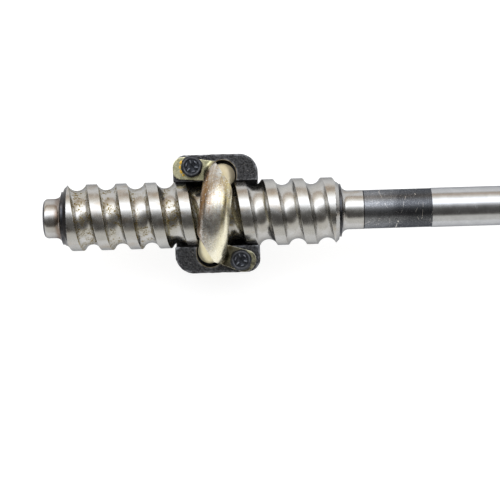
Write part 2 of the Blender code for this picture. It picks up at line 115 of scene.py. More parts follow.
# Transfer tube and its clamp
TUBE_RADIUS = 5.95 * MM
TUBE_BORE_RADIUS = 5.1 * MM
ARCH_Z = 7.5 * MM
TUBE_END_Z = 2.0 * MM
TUBE_TRIM_RADIUS = 16.7 * MM
ARCH_BOW = 0.6 * MM
SHELL_INNER_RADIUS = 6.15 * MM
SHELL_RADIUS = 7.55 * MM
SHELL_HALF_ANGLE = radians(95)
EAR_BOTTOM = ARM_TOP + 0.1 * MM
EAR_TOP = EAR_BOTTOM + 1.3 * MM
EAR_FILLET = 2.2 * MM
BOLT = Vector((-11.2 * MM, 22.9 * MM))
BOLT_HOLE_RADIUS = 3.35 * MM
BOLT_HOLE_DEPTH = 15 * MM
HEAD_HEIGHT = 4.0 * MM
HEAD_FLAT_RADIUS = 5 * MM
HEAD_CORNER_RADIUS = 5.25 * MM
HEAD_TURN = radians(15)
THREAD_PITCH = 1.0 * MM
WASHER_BORE_RADIUS = 3.3 * MM
WASHER_RADIUS = 4.9 * MM
WASHER_OFFSET = 0.12 * MM
CLAMP_VOXEL = 0.2 * MM
PAINT_DISTANCE = 5.75 * MM

# Each leg's sheet is trimmed along its ear's outer edge to a tip, then along a straight seam.
# The points are seen from above the nut's centre; the lower leg's are turned half round.
EAR_CORNER = {"upper": Vector((-20.6 * MM, 28.7 * MM)), "lower": Vector((-16.6 * MM, 30.8 * MM))}
SEAM_TIP = {"upper": Vector((-0.1 * MM, 25.3 * MM)), "lower": Vector((1.7 * MM, 23.35 * MM))}
SEAM_SIDES = {
    "upper": ((7.4, 12.9), (7.95, 11.4), (8.1, 9.6), (8.0, 7.6), (7.75, 5.6), (7.7, 4.0)),
    "lower": ((8.7, 10.7), (9.05, 9.7), (9.2, 8.6), (9.15, 7.4)),
}

SIDES = (("upper", 1), ("lower", -1))
ALONG_X, ALONG_Y, ALONG_Z = Vector((1, 0, 0)), Vector((0, 1, 0)), Vector((0, 0, 1))


# ---------------------------------------------------------------- materials


class Value:
    """What a node gives, for sums and products."""

    def __init__(self, nodes, socket):
        self.nodes, self.socket = nodes, socket

    def __add__(self, other):
        return self.nodes.math("ADD", self, other)

    def __sub__(self, other):
        return self.nodes.math("SUBTRACT", self, other)

    def __mul__(self, other):
        return self.nodes.math("MULTIPLY", self, other)

    def __abs__(self):
        return self.nodes.math("ABSOLUTE", self)

    def remap(self, low, high, to_low=0.0, to_high=1.0):
        inputs = dict(enumerate((self, low, high, to_low, to_high)))
        return self.nodes.add("MapRange", "Result", inputs)

    def vein(self, middle, width):
        """1 along a contour of a noise, fading to 0 at this width from it."""
        return abs(self - middle).remap(width / 2, width, 1.0, 0.0)


class Nodes:
    """A node tree, with short calls for its nodes."""

    def __init__(self, tree):
        self.tree = tree

    def feed(self, socket, value):
        """A link or a plain value into a socket."""
        if isinstance(value, Value):
            self.tree.links.new(value.socket, socket)
        elif isinstance(value, tuple) and len(value) == 3:
            socket.default_value = (*value, 1.0)
        else:
            socket.default_value = value

    def add(self, kind, output, inputs=(), **settings):
        """A new node with its inputs fed; gives one of its outputs."""
        node = self.tree.nodes.new(f"ShaderNode{kind}")
        for key, value in settings.items():
            setattr(node, key, value)
        for key, value in dict(inputs).items():
            self.feed(node.inputs[key], value)
        return Value(self, node.outputs[output])

    def math(self, operation, first, second=0.0, clamp=False):
        return self.add("Math", "Value", {0: first, 1: second}, operation=operation, use_clamp=clamp)

    def mix(self, factor, first, second):
        return self.add("Mix", 2, {"Factor": factor, 6: first, 7: second}, data_type="RGBA")


class Finish(Nodes):
    """A Principled material, with short calls for what its sockets are fed."""

    def __init__(self, name, colour, roughness, metallic=1.0):
        self.material = bpy.data.materials.new(name)
        self.material.use_nodes = True
        super().__init__(self.material.node_tree)
        self.set("Base Color", colour)
        self.set("Roughness", roughness)
        self.set("Metallic", metallic)

    def set(self, name, value):
        self.feed(self.tree.nodes["Principled BSDF"].inputs[name], value)

    def place(self, stretch=(1, 1, 1)):
        inputs = {"Vector": self.add("TexCoord", "Object"), "Scale": Vector(stretch)}
        return self.add("Mapping", "Vector", inputs)

    def noise(self, size, detail=3.0, stretch=(1, 1, 1), distortion=0.0, roughness=0.55):
        """Noise whose features are about this size, in millimetres."""
        inputs = {"Vector": self.place(stretch), "Scale": 1 / (size * MM), "Detail": detail}
        inputs |= {"Roughness": roughness, "Distortion": distortion}
        return self.add("TexNoise", "Fac", inputs)

    def turned_noise(self, size, detail, around):
        """Noise drawn out round the X axis, as grinding leaves it."""
        return self.noise(size, detail, (1, 1 / around, 1 / around))

    def streaks(self, across, along, across_scale, along_scale):
        """Noise over two stored coordinates of a surface."""
        pair = {"X": across * across_scale, "Y": along * along_scale}
        inputs = {"Vector": self.add("CombineXYZ", "Vector", pair), "Scale": 1.0}
        return self.add("TexNoise", "Fac", inputs | {"Detail": 3.0, "Distortion": 0.3})

    def attribute(self, name):
        return self.add("Attribute", "Fac", attribute_name=name)

    def along(self, axis):
        return self.add("SeparateXYZ", axis, {"Vector": self.place()})

    def blend(self, factor, first, second):
        """Makes the base colour a mix of two."""
        self.base = self.mix(factor, first, second)
        self.set("Base Color", self.base)

    def coat(self, factor, colour):
        """Lays a colour over the base colour made so far."""
        self.blend(factor, self.base, colour)

    def surfaced(self, roughness, height, depth, strength):
        """The material, with this roughness and a bump of up to this depth in millimetres."""
        self.set("Roughness", roughness)
        inputs = {"Height": height, "Distance": depth * MM, "Strength": strength}
        self.set("Normal", self.add("Bump", "Normal", inputs))
        return self.material


# How much of the light from a metal's grazing angles is left: oil and fine wear dull its outline.
GRAZING = (0.45, 0.46, 0.48)


def ground_steel(name, colour, roughness, line_depth=0.004, haze=0.10, tint=(0.30, 0.22, 0.13)):
    """Ground steel: fine lines round the shaft, a little haze, a thin film, and a heat tint where marked."""
    steel = Finish(name, colour, roughness)
    steel.set("Specular Tint", GRAZING)
    lines = steel.turned_noise(0.10, 3.0, 40.0)
    cloud = steel.noise(4.0, 4.0)
    film = steel.noise(7.0, 3.0, (0.7, 1.3, 1.3)).remap(0.52, 0.78, 0.0, 0.55)
    steel.blend(cloud.remap(0.35, 0.7), tuple(c * 0.88 for c in colour), colour)
    steel.coat(film, tint)
    burnt = steel.attribute("burnt") * cloud.remap(0.35, 0.6, 0.45, 0.9)
    steel.coat(burnt, (0.135, 0.078, 0.042))
    wander = cloud.remap(0.3, 0.7, roughness - haze / 2, roughness + haze)
    fine = lines.remap(0.3, 0.7, -0.04, 0.04)
    return steel.surfaced(steel.math("ADD", wander, fine, clamp=True), lines, line_depth, 0.5)


def track_steel():
    """The ball track: smooth, with an olive film and dried amber runs in the grooves left of the tube, and
    painted shade where it runs in the nut's window.
    """
    steel = Finish("track_steel", (0.48, 0.47, 0.45), 0.25)
    steel.set("Specular Tint", GRAZING)
    cloud = steel.noise(5.0, 4.0)
    grain = steel.noise(0.5, 3.0)
    where = steel.noise(6.0, 2.0).remap(0.42, 0.50)
    along = steel.along("X")
    left = along.remap(NUT_X + 6 * MM, NUT_X + 14 * MM, 1.0, 0.12)
    dirty = where * left
    steel.blend(cloud.remap(0.35, 0.7), (0.42, 0.41, 0.39), (0.49, 0.485, 0.47))
    steel.coat(dirty * 0.15, (0.36, 0.31, 0.17))
    runs = steel.noise(3.4, 0.0, distortion=2.2).vein(0.5, 0.058)
    threads = steel.noise(2.0, 0.0, distortion=1.6).vein(0.52, 0.058)
    breaks = steel.noise(1.7, 1.0).remap(0.44, 0.49)
    drawn = steel.math("MAXIMUM", runs, threads) * (dirty * breaks)
    lip = steel.attribute("across").remap(-0.97, -0.88, 1.0, 0.0)
    edge = lip * steel.noise(3.0, 3.0).remap(0.40, 0.60, 0.0, 0.75)
    steel.coat(edge * left, (0.25, 0.19, 0.04))
    # Painted shade: the track is darkened in patches where it runs in the nut's window, under the arms and
    # the tube's clamp; the amber runs there take their colour from this painted shade too.
    window = abs(along - NUT_X).remap(7 * MM, 14 * MM)
    window_shade = cloud.remap(0.15, 0.42) * steel.math("SUBTRACT", 0.30, window, True)
    steel.coat(window_shade, (0.15, 0.15, 0.14))
    amber = steel.mix(window_shade, (0.15, 0.10, 0.01), (0.42, 0.32, 0.08))
    steel.coat(drawn * 0.9, amber)
    pits = steel.noise(0.8, 2.0).remap(0.66, 0.72) * dirty
    steel.coat(pits * 0.7, (0.08, 0.07, 0.05))
    rough = cloud.remap(0.3, 0.75, 0.2, 0.3)
    return steel.surfaced(rough + drawn * 0.2, grain + drawn, 0.008, 0.3)


def blued_steel():
    """The dark shoulders, blue-black and greyer in patches, with a painted black line of shade at the left
    one, over the thread's chamfer.
    """
    steel = Finish("blued_steel", (0.05, 0.052, 0.058), 0.3)
    cloud = steel.noise(2.5, 4.0)
    steel.blend(cloud.remap(0.5, 0.75), (0.052, 0.054, 0.060), (0.13, 0.12, 0.12))
    # Painted shade: a near-black line round the left thread chamfer, standing for the dark reflection it
    # shows.
    off = abs(steel.along("X") - (WORM_START - 1.0 * MM))
    steel.coat(off.remap(0.6 * MM, 1.0 * MM, 1.0, 0.0), (0.012, 0.010, 0.010))
    return steel.surfaced(cloud.remap(0.3, 0.7, 0.24, 0.42), steel.turned_noise(0.15, 3.0, 30.0), 0.004, 0.4)


def oxide_band():
    """The oxide band beside the neck: grey and speckled towards the neck, blacker and scratched beyond."""
    band = Finish("black_oxide_band", (0.08, 0.08, 0.085), 0.34)
    band.set("Specular Tint", GRAZING)
    cloud = band.noise(6.0, 3.0)
    fine = band.noise(0.45, 4.0, roughness=0.7)
    along = band.along("X")
    fade = along + cloud.remap(0.3, 0.7, -6 * MM, 6 * MM)
    beyond = fade.remap(NECK_END + 4 * MM, NECK_END + 20 * MM)
    band.blend(beyond, (0.18, 0.186, 0.198), (0.066, 0.069, 0.076))
    shown = fade.remap(NECK_END + 2 * MM, NECK_END + 26 * MM, 1.0, 0.35)
    speckle = fine.remap(0.54, 0.66) * shown
    band.coat(speckle * 0.8, (0.42, 0.43, 0.45))
    band.coat(fine.remap(0.44, 0.36, 0.0, 0.6), (0.03, 0.031, 0.035))
    lines = band.turned_noise(0.22, 5.0, 60.0)
    band.coat(lines.remap(0.55, 0.75, 0.0, 0.3), (0.25, 0.25, 0.26))
    scratch = band.noise(4.5, 0.0, (1, 0.5, 0.5), 0.5).vein(0.54, 0.01)
    some = band.noise(3.2, 2.0).remap(0.50, 0.54)
    band.coat(scratch * some, (0.55, 0.53, 0.50))
    rim = along.remap(NECK_END + 0.2 * MM, NECK_END + 0.7 * MM, 1.0, 0.0)
    band.coat(rim, (0.015, 0.015, 0.017))
    return band.surfaced(fine.remap(0.3, 0.7, 0.38, 0.28), fine + lines, 0.012, 0.5)


def phosphated_iron():
    """The nut: charcoal phosphate with a coarse grain, rubbed paler in patches of its edges, and painted
    lighter inside as painted light in its shaded bore.
    """
    iron = Finish("phosphated_iron", (0.03, 0.03, 0.032), 0.55, 0.3)
    iron.set("Specular IOR Level", 0.35)
    grain = iron.noise(1.0, 5.0, roughness=0.75)
    cloud = iron.noise(5.0, 4.0)
    specks = iron.noise(0.8, 2.0).remap(0.66, 0.71)
    patches = iron.noise(2.2, 5.0, roughness=0.7).remap(0.46, 0.56)
    rubbed = iron.attribute("wear").remap(0.15, 0.5) * patches
    iron.blend(grain.remap(0.43, 0.57), (0.0, 0.0, 0.0), (0.062, 0.062, 0.066))
    iron.coat(cloud.remap(0.5, 0.72, 0.0, 0.35), (0.042, 0.044, 0.048))
    iron.coat(specks * 0.8, (0.25, 0.24, 0.23))
    iron.coat(rubbed * 0.55, (0.20, 0.205, 0.22))
    # Painted light: the bore and track inside the nut are lifted to a lighter grey, lightening the shade
    # there and its reflection in the worm.
    iron.coat(iron.attribute("bore"), (0.11, 0.11, 0.115))
    broken = iron.noise(3.0, 4.0).remap(0.50, 0.60, 0.0, 0.7)
    edge = iron.attribute("wear").remap(0.7, 1.0) * broken
    iron.coat(edge, (0.34, 0.35, 0.37))
    iron.coat(iron.attribute("lip"), (0.42, 0.36, 0.25))
    return iron.surfaced(grain.remap(0.3, 0.7, 0.42, 0.62), grain + cloud * 0.6, 0.20, 0.8)


def pale_zinc():
    """The transfer tube: satin zinc plate with a pale yellow passivation, with painted shade making its upper
    leg darker and browner.
    """
    zinc = Finish("pale_yellow_zinc", (0.74, 0.68, 0.46), 0.34, 0.75)
    cloud = zinc.noise(4.0, 4.0)
    specks = zinc.noise(0.5, 2.0).remap(0.68, 0.76)
    zinc.blend(cloud.remap(0.35, 0.7), (0.74, 0.69, 0.50), (0.64, 0.57, 0.34))
    # Painted shade: the upper leg is darkened and browned, as it lies in shade.
    upper = zinc.along("Y").remap(0.0, 16 * MM, 0.0, 0.6)
    zinc.coat(upper, (0.52, 0.43, 0.28))
    zinc.coat(specks * 0.4, (0.35, 0.33, 0.3))
    return zinc.surfaced(cloud.remap(0.3, 0.7, 0.28, 0.42), zinc.noise(0.4, 3.0), 0.012, 0.4)


def yellow_chromate():
    """The clamp: gold chromate, copper on one flank and darker on its lower ear, with painted shade in the
    creases by the ears, a painted dark reflection on the shell, and pale edges, partly rubbed and partly a
    painted highlight.
    """
    gold = Finish("yellow_chromate", (0.62, 0.50, 0.26), 0.28, 0.9)
    around, along = gold.attribute("around"), gold.attribute("along")
    cloud = gold.noise(2.4, 4.0, distortion=0.5)
    fine = gold.noise(0.7, 4.0)
    long_streaks = gold.streaks(around, along, 3.2, 0.9)
    thin_streaks = gold.streaks(around, along, 9.0, 1.6)
    drift = around + long_streaks.remap(0.3, 0.7, -0.35, 0.35)
    shell = gold.mix(drift.remap(-0.65, 0.12), (0.15, 0.067, 0.014), (0.60, 0.58, 0.51))
    shell = gold.mix(drift.remap(0.1, 0.6), shell, (0.58, 0.50, 0.26))
    blue = gold.noise(3.2, 3.0, distortion=0.8).remap(0.5, 0.64, 0.0, 0.7)
    blue = blue * along.remap(0.0, 1.9, 1.0, 0.2)
    blue = blue * around.remap(-1.1, -0.3)
    shell = gold.mix(blue, shell, (0.54, 0.60, 0.66))
    shell = gold.mix(thin_streaks.remap(0.54, 0.68, 0.0, 0.75), shell, (0.30, 0.21, 0.08))
    veil = gold.noise(1.2, 5.0, distortion=0.8).remap(0.44, 0.60, 0.0, 0.45)
    veil = veil * around.remap(-1.0, -0.1)
    shell = gold.mix(veil, shell, (0.42, 0.44, 0.45))
    veins = gold.noise(2.4, 2.0, distortion=1.4).vein(0.5, 0.05)
    shell = gold.mix(veins * 0.4, shell, (0.30, 0.17, 0.05))
    low = (along + around * 0.6).remap(1.85, 2.4)
    shell = gold.mix(low * 0.8, shell, (0.88, 0.84, 0.66))
    ear = gold.mix(cloud.remap(0.38, 0.62), (0.48, 0.47, 0.29), (0.66, 0.63, 0.41))
    # Darker towards the lower ear, in noisy patches.
    lower = gold.along("Y").remap(-10 * MM, -16 * MM)
    lower_ear_dark = lower * gold.noise(3.0, 4.0).remap(0.38, 0.56, 0.35, 0.95)
    ear = gold.mix(lower_ear_dark, ear, (0.13, 0.12, 0.085))
    gold.blend(gold.attribute("shell"), ear, shell)
    # Painted reflection: a mottled grey patch on the shell stands for the dark band of the surroundings
    # reflected there.
    painted_dark_reflection = gold.attribute("crest") * fine.remap(0.36, 0.54, 0.25, 1.0)
    spots = gold.noise(0.9, 4.0, distortion=0.6).remap(0.42, 0.58)
    gold.coat(painted_dark_reflection, gold.mix(spots, (0.30, 0.29, 0.265), (0.60, 0.60, 0.575)))
    chips = gold.noise(0.6, 1.0).remap(0.69, 0.73) * gold.attribute("shell")
    gold.coat(chips, (0.92, 0.92, 0.90))
    dirt = gold.noise(0.9, 4.0).remap(0.60, 0.72, 0.0, 0.6)
    gold.coat(dirt, (0.13, 0.10, 0.05))
    # Painted shade in the creases where the ears meet the shell's legs, wider on the lower ear.
    crease_shade = gold.attribute("crease_shade") * long_streaks.remap(0.36, 0.6, 1.0, 0.5)
    gold.coat(crease_shade, (0.06, 0.048, 0.024))
    # Pale lines along the sheet's cut edges and the ears' top rims: partly edge wear, partly painted
    # highlight.
    wear = gold.attribute("wear").remap(0.44, 0.62, 0.0, 0.9)
    edge = gold.math("MAXIMUM", wear, gold.attribute("rim"))
    gold.coat(edge, (0.74, 0.70, 0.58))
    return gold.surfaced(cloud.remap(0.3, 0.7, 0.2, 0.34), cloud + gold.noise(0.5, 3.0), 0.02, 0.45)


def black_oxide(name="black_bolt"):
    black = Finish(name, (0.02, 0.022, 0.027), 0.34, 0.7)
    cloud = black.noise(1.6, 4.0)
    grain = black.noise(0.3, 3.0)
    rub = black.noise(0.9, 4.0).remap(0.56, 0.72, 0.0, 0.6)
    black.blend(rub, (0.016, 0.018, 0.023), (0.09, 0.095, 0.105))
    # The raised dashes and the head's top rim are lighter: partly rubbed metal, partly painted highlight.
    raised = black.attribute("raised") * cloud.remap(0.35, 0.6, 0.35, 1.0)
    black.coat(raised, (0.20, 0.21, 0.235))
    return black.surfaced(cloud.remap(0.3, 0.7, 0.26, 0.42), grain, 0.015, 0.5)


def sintered_bronze():
    bronze = Finish("sintered_bronze", (0.48, 0.31, 0.16), 0.42)
    pores = bronze.noise(0.3, 3.0)
    cloud = bronze.noise(5.0, 3.0)
    bronze.blend(cloud.remap(0.35, 0.7), (0.50, 0.33, 0.17), (0.38, 0.24, 0.12))
    bronze.coat(pores.remap(0.6, 0.7, 0.0, 0.7), (0.12, 0.07, 0.04))
    return bronze.surfaced(cloud.remap(0.3, 0.7, 0.36, 0.5), pores, 0.02, 0.5)


def paint():
    mark = Finish("inspection_paint", (0.85, 0.50, 0.04), 0.4, 0.0)
    patch = mark.noise(0.5, 3.0)
    mark.blend(patch.remap(0.4, 0.65), (0.95, 0.62, 0.07), (0.78, 0.42, 0.03))
    return mark.surfaced(0.4, patch, 0.03, 0.6)


# ---------------------------------------------------------------- geometry


def add_object(name, mesh, materials=()):
    obj = bpy.data.objects.new(name, mesh)
    bpy.context.scene.collection.objects.link(obj)
    for material in materials:
        mesh.materials.append(material)
    return obj


def smooth_object(shape, name, materials):
    mesh = bpy.data.meshes.new(name)
    shape.to_mesh(mesh)
    shape.free()
    mesh.shade_smooth()
    return add_object(name, mesh, materials)


def build(name, points, faces, materials=(), sharp=32, merge=1e-7):
    """An object from points and faces: closed up, facing out, smooth but for its sharp edges."""
    shape = bmesh.new()
    made = [shape.verts.new(point) for point in points]
    for face in faces:
        if len(set(face)) == len(face):
            shape.faces.new([made[i] for i in face])
    bmesh.ops.remove_doubles(shape, verts=shape.verts, dist=merge)
    bmesh.ops.dissolve_degenerate(shape, edges=shape.edges, dist=merge)
    bmesh.ops.recalc_face_normals(shape, faces=shape.faces)
    obj = smooth_object(shape, name, materials)
    obj.data.set_sharp_from_angle(angle=radians(sharp))
    return obj


def loft_faces(rows, columns, closed=False):
    """Quads over rows of equally many points, with end caps or with the last row joined to the first."""
    faces = []
    for row in range(rows if closed else rows - 1):
        low, high = row * columns, (row + 1) % rows * columns
        for i in range(columns):
            j = (i + 1) % columns
            faces.append((low + i, low + j, high + j, high + i))
    if not closed:
        faces.append(tuple(range(columns)))
        faces.append(tuple(range((rows - 1) * columns, rows * columns)))
    return faces


def loft(name, sections, materials=(), closed=False, sharp=32):
    points = [point for section in sections for point in section]
    return build(name, points, loft_faces(len(sections), len(sections[0]), closed), materials, sharp)


def round_x(turn):
    """The direction at this angle from +Y towards +Z."""
    return Vector((0, cos(turn), sin(turn)))


def round_z(turn):
    """The direction at this angle from +X towards +Y."""
    return Vector((cos(turn), sin(turn), 0))


def bolt_place(side):
    return NUT_X + side * BOLT.x, side * BOLT.y


def leg_place(side):
    return NUT_X + side * LEG_X, side * PITCH_RADIUS


def circle(centre, across, along, radius, sides):
    turns = [2 * pi * i / sides for i in range(sides)]
    return [centre + radius * (cos(t) * across + sin(t) * along) for t in turns]


def turned(name, outline, materials=(), closed=False, sides=128):
    """A solid of revolution about X through (x, radius) points."""
    sections = [circle(x * ALONG_X, ALONG_Y, ALONG_Z, radius, sides) for x, radius in outline]
    return loft(name, sections, materials, closed)


def turned_z(name, centre, outline, materials=(), closed=False, sides=96):
    """A solid of revolution about a line along Z through (radius, z) points."""
    sections = [
        circle(Vector((centre[0], centre[1], z)), ALONG_X, ALONG_Y, radius, sides) for radius, z in outline
    ]
    return loft(name, sections, materials, closed)


def prism_z(name, outline, low, high, materials=()):
    return loft(name, [[Vector((x, y, z)) for x, y in outline] for z in (low, high)], materials)


def prism_x(name, outline, low, high, materials=()):
    return loft(name, [[Vector((x, y, z)) for y, z in outline] for x in (low, high)], materials)


def rounded(corners, steps=8, closed=True):
    """An outline through (u, v, radius) corners, each rounded by an arc of its radius."""
    outline = []
    for i, (u, v, radius) in enumerate(corners):
        corner = Vector((u, v))
        end = not closed and i in (0, len(corners) - 1)
        if not radius or end:
            outline.append(corner)
            continue
        before = (Vector(corners[i - 1][:2]) - corner).normalized()
        after = (Vector(corners[(i + 1) % len(corners)][:2]) - corner).normalized()
        half = before.angle(after) / 2
        centre = corner + (before + after).normalized() * radius / sin(half)
        first = corner + before * radius / tan(half) - centre
        sweep = pi - 2 * half
        if first.cross(corner - centre) < 0:
            sweep = -sweep
        for step in range(steps + 1):
            arm = first.copy()
            arm.rotate(Matrix.Rotation(sweep * step / steps, 2))
            outline.append(centre + arm)
    same = 0.001 * MM
    return [p for i, p in enumerate(outline) if (p - outline[i - 1]).length > same]


def rounded_box(low, high, radii, steps):
    """A rectangle's outline between two corners, with a radius in millimetres for each of its four."""
    corners = (low, (high[0], low[1]), high, (low[0], high[1]))
    return rounded([(*corner, radius * MM) for corner, radius in zip(corners, radii)], steps)


def boolean(target, other, operation="DIFFERENCE"):
    modifier = target.modifiers.new(other.name, "BOOLEAN")
    modifier.operation = operation
    modifier.object = other
    other.hide_render = True


def settle(obj, sharp=32):
    """Applies the modifiers, and takes away the cutters that they used."""
    bpy.context.view_layer.update()
    graph = bpy.context.evaluated_depsgraph_get()
    mesh = bpy.data.meshes.new_from_object(obj.evaluated_get(graph))
    cutters = [m.object for m in obj.modifiers if m.type == "BOOLEAN"]
    obj.modifiers.clear()
    old, obj.data = obj.data, mesh
    bpy.data.meshes.remove(old)
    for cutter in cutters:
        bpy.data.objects.remove(cutter)
    mesh.shade_smooth()
    mesh.set_sharp_from_angle(angle=radians(sharp))
    return obj


def remeshed(obj, voxel, rounds, keep=1.0):
    """One even skin over all that obj holds, its edges eased by smoothing, then thinned out."""
    remesh = obj.modifiers.new("skin", "REMESH")
    remesh.mode = "VOXEL"
    remesh.voxel_size = voxel
    ease = obj.modifiers.new("ease", "SMOOTH")
    ease.factor = 0.5
    ease.iterations = rounds
    if keep < 1.0:
        thin = obj.modifiers.new("thin", "DECIMATE")
        thin.ratio = keep
    settle(obj, sharp=60)
    return obj


def stored(obj, name, values):
    attribute = obj.data.attributes.new(name, "FLOAT", "POINT")
    attribute.data.foreach_set("value", np.asarray(values, np.float32))


def read(items, name, width=3, kind=np.float32):
    """A property of all the points, edges or faces of a mesh, one row each."""
    values = np.empty(len(items) * width, kind)
    items.foreach_get(name, values)
    return values.reshape(-1, width)


def points_of(obj):
    return read(obj.data.vertices, "co")


def normals_of(obj):
    return read(obj.data.vertices, "normal")


def mark_wear(obj, rounds, gain):
    """Stores how far each point stands out from its neighbours as the attribute wear, from 0 to 1."""
    points = points_of(obj)
    edges = read(obj.data.edges, "vertices", 2, np.int32)
    first, second = edges.T
    count = np.bincount(edges.ravel(), minlength=len(points)).clip(1)

    def spread(values):
        total = np.bincount(first, values[second], len(points))
        return (total + np.bincount(second, values[first], len(points))) / count

    blurred = points.astype(float)
    for _ in range(rounds):
        blurred = np.stack([spread(blurred[:, axis]) for axis in range(3)], axis=1)
    out = ((points - blurred) * normals_of(obj)).sum(axis=1) * gain
    for _ in range(2):
        out = (out + spread(out)) / 2
    stored(obj, "wear", out.clip(0, 1))


# ---------------------------------------------------------------- the worm shaft


def groove_x(angle):
    """Where the ball track's centre line is along X, at an angle from +Y towards +Z."""
    return NUT_X + LEAD / 4 + LEAD * angle / (2 * pi)


def thread_profile():
    """(offset along X, radius) through one pitch: the track, its eased lips and the land."""
    lean = cos(atan(LEAD / (2 * pi * PITCH_RADIUS)))
    mouth = acos((PITCH_RADIUS - WORM_RADIUS) / TRACK_RADIUS)
    eased = mouth - radians(2.6)
    lip = 0.22 * MM

    def on_track(angle):
        across, depth = TRACK_RADIUS * sin(angle), TRACK_RADIUS * cos(angle)
        return np.array((across / lean, PITCH_RADIUS - depth))

    track = [on_track(eased * (2 * i / 24 - 1)) for i in range(25)]
    corner = on_track(mouth)
    start, end = on_track(eased), corner + (lip, 0)
    lip_points = []
    for share in (0.33, 0.67):
        lip_points.append((1 - share) ** 2 * start + 2 * share * (1 - share) * corner + share**2 * end)
    land = [(x, WORM_RADIUS) for x in np.linspace(end[0], LEAD - end[0], 14)]
    mirrored = [(LEAD - x, radius) for x, radius in reversed(lip_points)]
    return np.array(track + lip_points + land + mirrored)


def worm_grid(turns, start, end, foot):
    """Points and faces of the threaded length, on a grid that follows the helix, with flat round ends."""
    profile = thread_profile()
    per_pitch = len(profile)
    pitches = ceil((end - start) / LEAD) + 4
    first_pitch = floor((start - groove_x(0)) / LEAD) - 2
    offsets = np.concatenate([profile[:, 0] + LEAD * (first_pitch + k) for k in range(pitches)])
    rows, columns = np.arange(len(offsets))[:, None], np.arange(turns)
    angles = 2 * np.pi * columns / turns
    centre = NUT_X + LEAD / 4 + LEAD * angles / (2 * np.pi)
    x = offsets[:, None] + centre[None, :]
    first, last = (np.abs(x - edge).argmin(axis=0) for edge in (start, end))
    for edge in (start, WORM_START, WORM_END, end):
        x[np.abs(x - edge).argmin(axis=0), columns] = edge
    phase = (x - centre - profile[0, 0]) % LEAD + profile[0, 0]
    wrapped = np.vstack([profile, (profile[0, 0] + LEAD, profile[0, 1])])
    radius = np.interp(phase, wrapped[:, 0], wrapped[:, 1])
    rim = WORM_RADIUS - THREAD_CHAMFER
    blank = np.interp(x, (start, WORM_START, WORM_END, end), (rim, WORM_RADIUS, WORM_RADIUS, rim))
    radius = np.minimum(radius, blank)
    beyond = (rows < first) | (rows > last)
    radius[beyond] = foot
    x = x.clip(start, end)
    points = np.stack([x, radius * np.cos(angles), radius * np.sin(angles)], axis=-1)
    faces = []
    for i in range(len(offsets) - per_pitch - 1):
        for j in range(turns):
            row, column = (i, j + 1) if j + 1 < turns else (i + per_pitch, 0)
            if beyond[i, j] and beyond[i + 1, j] and beyond[row, column] and beyond[row + 1, column]:
                continue
            here, there = i * turns + j, row * turns + column
            faces.append((here, here + turns, there + turns, there))
    return points.reshape(-1, 3), faces


def race_fillet(x, radius, towards, steps=14):
    """The concave quarter round from a journal up to the shoulder, as (x, radius) points."""
    centre = radius + RACE_RADIUS
    last = asin((SHOULDER_RADIUS - centre) / RACE_RADIUS)
    turns = [-pi / 2 + (last + pi / 2) * i / steps for i in range(steps + 1)]
    return [(x + towards * RACE_RADIUS * cos(t), centre + RACE_RADIUS * sin(t)) for t in turns]


def eased_outline(corners, steps=3):
    return [tuple(point) for point in rounded(corners, steps, closed=False)]


def left_outline(start, foot):
    """The worm's left end, from the centre hole to the thread."""
    left = SHAFT_LOW.x
    race = start - SHOULDER_WIDTH - RACE_RADIUS
    outline = eased_outline([
        (left + CENTRE_HOLE_DEPTH, 0.3 * MM, 0),
        (left, CENTRE_HOLE_RADIUS, 0.15 * MM),
        (left, STUB_RADIUS, STUB_ROUNDING),
        (race - 0.1 * MM, STUB_RADIUS, 0),
    ], 8)
    outline += race_fillet(race, STUB_RADIUS, 1)
    outline += [(start - 0.15 * MM, SHOULDER_RADIUS), (start, SHOULDER_RADIUS + 0.1 * MM), (start, foot)]
    return outline


def right_outline(end, foot):
    """The shaft from the thread to its input end."""
    race = end + SHOULDER_WIDTH + RACE_RADIUS
    outline = [(end, foot), (end, SHOULDER_RADIUS + 0.1 * MM), (end + 0.15 * MM, SHOULDER_RADIUS)]
    outline += reversed(race_fillet(race, NECK_RADIUS, -1))
    corners = [(race + 0.1 * MM, NECK_RADIUS, 0)]
    corners += [(NECK_END, NECK_RADIUS, 0.03 * MM), (NECK_END, BAND_RADIUS, 0.02 * MM)]
    corners += [(BAND_END, BAND_RADIUS, 0.05 * MM), (BAND_END, ROD_RADIUS, 0.06 * MM)]
    reach = BUSH_HIGH.x - BUSH_LOW.x
    middle = (BUSH_LOW.x + BUSH_HIGH.x) / 2
    for side in (-1, 1):
        x = middle + side * (reach / 2 + RING_PLAY + RING_THICKNESS / 2)
        low, high = x - RING_GROOVE_WIDTH / 2, x + RING_GROOVE_WIDTH / 2
        corners += [(low, ROD_RADIUS, 0.1 * MM), (low, RING_GROOVE_RADIUS, 0.15 * MM)]
        corners += [(high, RING_GROOVE_RADIUS, 0.15 * MM), (high, ROD_RADIUS, 0.1 * MM)]
    root = SPLINE_RADIUS - SPLINE_DEPTH
    corners += [(SPLINE_START - 0.8 * MM, ROD_RADIUS, 0.2 * MM), (SPLINE_START, root, 0)]
    outline += eased_outline(corners)
    return outline


